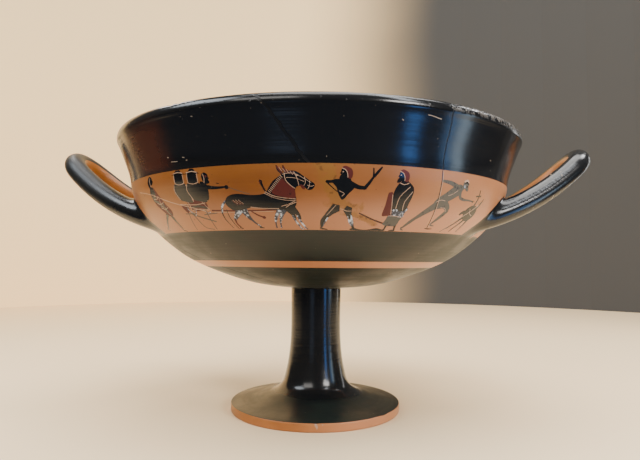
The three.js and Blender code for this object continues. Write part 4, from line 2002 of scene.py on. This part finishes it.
    def lay_picture(self, patches: list[Patch]) -> None:
        """Adds the painted wall and the handles that grow out of it.

        Args:
            patches: what is painted on the wall.
        """
        picture = Picture(self.wall, self.sizes, self.azimuths)
        picture.paint(patches)
        for handle in self.handles:
            picture.open_for(handle.root_ring(self.wall, False))
            picture.open_for(handle.root_ring(self.wall, True))
        rings = picture.lay(self.skin)
        for i, handle in enumerate(self.handles):
            handle.lay(self.skin, self.wall, rings[2 * i:2 * i + 2])

    def make(self, patches: list[Patch]) -> bpy.types.Object:
        """Makes the cup.

        Args:
            patches: what is painted on its wall.

        Returns:
            The finished piece.
        """
        self.lay_foot()
        self.lay_bowl()
        self.lay_picture(patches)
        self.lay_lip()
        piece = self.skin.build("kylix_cup", cup_materials())
        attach(piece, "root")
        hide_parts(NODE)
        return piece


# ---- camera and light


@dataclass(frozen=True)
class Viewpoint:
    """Where the cup is seen from, in metres and radians.

    Attributes:
        distance: how far the eye is from the cup's axis.
        height: how high it is over the table.
        azimuth: how far it stands to the right of the front.
        pitch: how far it looks up.
        yaw: how far it looks to the right of the axis.
        roll: how far it is turned about its own line of sight.
        lens: focal length in millimetres on a 36 mm wide sensor.
    """

    distance: float
    height: float
    azimuth: float = math.radians(4.6)
    pitch: float = 0.0570
    yaw: float = 0.00205
    roll: float = 0.00789
    lens: float = 30.56

    def make(self) -> bpy.types.Object:
        """Makes the camera and sets it as the scene's own."""
        level = Vector((math.sin(self.yaw), math.cos(self.yaw), 0))
        ahead = level * math.cos(self.pitch) + UP * math.sin(self.pitch)
        over = UP * math.cos(self.pitch) - level * math.sin(self.pitch)
        flat_right = ahead.cross(over)
        right = flat_right * math.cos(self.roll) + over * math.sin(self.roll)
        top = over * math.cos(self.roll) - flat_right * math.sin(self.roll)
        place = Vector((0, -self.distance, self.height))
        basis = Matrix((right, top, -ahead)).transposed().to_4x4()
        basis.translation = place
        data = bpy.data.cameras.new("camera")
        data.lens = self.lens
        data.sensor_width = 36
        data.clip_start = 0.01
        made = bpy.data.objects.new("camera", data)
        made.matrix_world = Matrix.Rotation(self.azimuth, 4, "Z") @ basis
        bpy.context.scene.collection.objects.link(made)
        bpy.context.scene.camera = made
        return made


@dataclass(frozen=True)
class Softbox:
    """A soft light that faces the cup; it is never seen itself.

    Attributes:
        name: its name.
        place: where it stands, in metres.
        width: its width in metres.
        height: its height in metres.
        power: its power in watts.
        colour: its light's colour.
        shape: its outline.
    """

    name: str
    place: tuple[float, float, float]
    width: float
    height: float
    power: float
    colour: tuple[float, float, float] = (1.0, 1.0, 1.0)
    shape: str = "RECTANGLE"

    def make(self, aim: Vector) -> bpy.types.Object:
        """Makes the light.

        Args:
            aim: what it faces.

        Returns:
            The light.
        """
        data = bpy.data.lights.new(self.name, "AREA")
        data.shape = self.shape
        data.size, data.size_y = self.width, self.height
        data.energy = self.power
        data.color = self.colour
        made = bpy.data.objects.new(self.name, data)
        made.location = self.place
        away = Vector(self.place) - aim
        made.rotation_euler = away.to_track_quat("Z", "Y").to_euler()
        made.visible_camera = False
        bpy.context.scene.collection.objects.link(made)
        return made


class Studio:
    """The plain pale floor, the surround, the lights, and a dark sheet of painted shade that shows only in
    reflections.
    """

    LIGHTS = (
        Softbox("overhead", (0.12, -0.10, 1.15), 1.2, 0.8, 22, (1.0, 0.98, 0.95)),
        Softbox("front_fill", (-0.45, -1.05, 0.75), 0.7, 0.4, 5, (1.0, 0.96, 0.9)),
        Softbox("right_fill", (0.90, -0.85, 0.55), 0.4, 0.3, 10, (1.0, 0.97, 0.93)),
        Softbox("lip_card", (0.285, -0.265, 0.062), 0.045, 0.09, 0.10, (0.08, 0.34, 1.0)),
        Softbox("side_card_blue", (0.352, -0.150, 0.075), 0.035, 0.11, 0.05, (0.16, 0.45, 1.0)),
        Softbox("side_card_pale", (0.363, -0.105, 0.085), 0.045, 0.10, 0.08, (0.62, 0.82, 1.0)),
        Softbox("front_card", (-0.080, -0.40, 0.030), 0.13, 0.05, 0.012, (0.45, 0.65, 1.0), "ELLIPSE"),
        Softbox("behind_right", (0.55, 0.36, 0.16), 0.05, 0.35, 0.25),
        Softbox("handle_left", (-0.55, -0.30, 0.62), 0.40, 0.30, 4.0, (0.86, 0.93, 1.0)),
        Softbox("handle_right", (0.34, -0.28, 0.60), 0.10, 0.34, 1.5, (0.95, 0.98, 1.0)),
        Softbox("flare_left", (-0.30, 0.08, 0.45), 0.10, 0.10, 0.4),
        Softbox("flare_right", (0.38, 0.06, 0.43), 0.10, 0.10, 0.6),
    )
    WORLD = ((1.0, 0.95, 0.88, 1), 0.12)
    PALE = shade(248, 222, 180)
    # colour of the dark sheet of painted shade
    DARK = shade(44, 52, 66)
    FLOOR = StudioPaper("floor_paper", PALE, PALE, 1, (-9, -8))
    # painted shade: a dark sheet on the floor in front, hidden from the camera, that only darkens the cup's
    # reflections
    SHADE_SHEET = StudioPaper("shade_sheet_paper", DARK, DARK, 1, (-0.18, -0.11), (0.62, 0.40), cut=True)
    WALL = StudioPaper("wall_paper", shade(252, 218, 164), shade(66, 65, 63), 0, (0.20, -0.14), glow=0.4)
    WALL_REACH = math.radians(64)
    WALL_DISTANCE = 5.4
    WALL_HEIGHT = 1.6
    FLOOR_SPREAD = 20

    def __init__(self, floor_height: float, reach: float) -> None:
        """Prepares the studio.

        Args:
            floor_height: height of the floor.
            reach: how far the cup reaches from its axis.
        """
        self.floor_height = floor_height
        self.reach = reach

    def make(self) -> None:
        """Makes the floor, the backdrop, the lights and the dim light all round."""
        size = self.reach * self.FLOOR_SPREAD
        corners = [(-size, -size), (size, -size), (size, size), (-size, size)]
        ground = [Vector((x, y, self.floor_height)) for x, y in corners]
        floor = self.sheet("floor", ground, [(0, 1, 2, 3)], self.FLOOR)
        # the dark sheet of painted shade, seen only in the cup's reflections
        shade_sheet = self.sheet("shade_sheet", [point + UP * MM for point in ground], [(0, 1, 2, 3)], self.SHADE_SHEET)
        shade_sheet.visible_camera = False
        shade_sheet.visible_shadow = False
        arc = [math.pi + self.WALL_REACH * i / 12 for i in range(-12, 13)]
        radius = self.reach * self.WALL_DISTANCE
        low = [Vector((math.sin(a) * radius, -math.cos(a) * radius, self.floor_height)) for a in arc]
        high = [point + UP * radius * self.WALL_HEIGHT for point in low]
        count = len(low)
        faces = [(i, i + 1, count + i + 1, count + i) for i in range(count - 1)]
        backdrop = self.sheet("backdrop", low + high, faces, self.WALL)
        for light in self.LIGHTS:
            light.make(Vector((0, 0, 0.1)))
        world = bpy.data.worlds.new("surround")
        world.use_nodes = True
        sky = world.node_tree.nodes["Background"]
        sky.inputs["Color"].default_value, sky.inputs["Strength"].default_value = self.WORLD
        bpy.context.scene.world = world

    @staticmethod
    def sheet(name: str, points: list[Vector], faces: list[tuple[int, ...]],
              paper: StudioPaper) -> bpy.types.Object:
        """Makes one sheet of the surround.

        Args:
            name: its name.
            points: its corners.
            faces: its faces.
            paper: its finish.

        Returns:
            The sheet.
        """
        mesh = bpy.data.meshes.new(name)
        mesh.from_pydata(points, [], faces)
        mesh.materials.append(paper.make())
        made = bpy.data.objects.new(name, mesh)
        bpy.context.scene.collection.objects.link(made)
        return made


# ---- the whole


def main() -> None:
    """Builds the cup, its surround and the camera, and notes the sizes."""
    logging.basicConfig(level=logging.INFO, format="%(message)s")
    low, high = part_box(NODE)
    sizes = CupSizes(rim_radius=(high.y - low.y) / 2, height=high.z - low.z)
    view = Viewpoint(distance=2.8223 * sizes.rim_radius, height=0.74464 * sizes.rim_radius)
    view.make()
    LOG.info("camera %.0f mm away", view.distance / MM)
    painter = Painter()
    painter.front()
    painter.back()
    LOG.info("painting: %d areas", len(painter.patches))
    cup = Cup(sizes).make(painter.patches)
    LOG.info("%s: %d faces", cup.name, len(cup.data.polygons))
    Studio(low.z, high.x).make()
    LOG.info("studio: %d lights", len(Studio.LIGHTS))


if __name__ == "__main__":
    main()
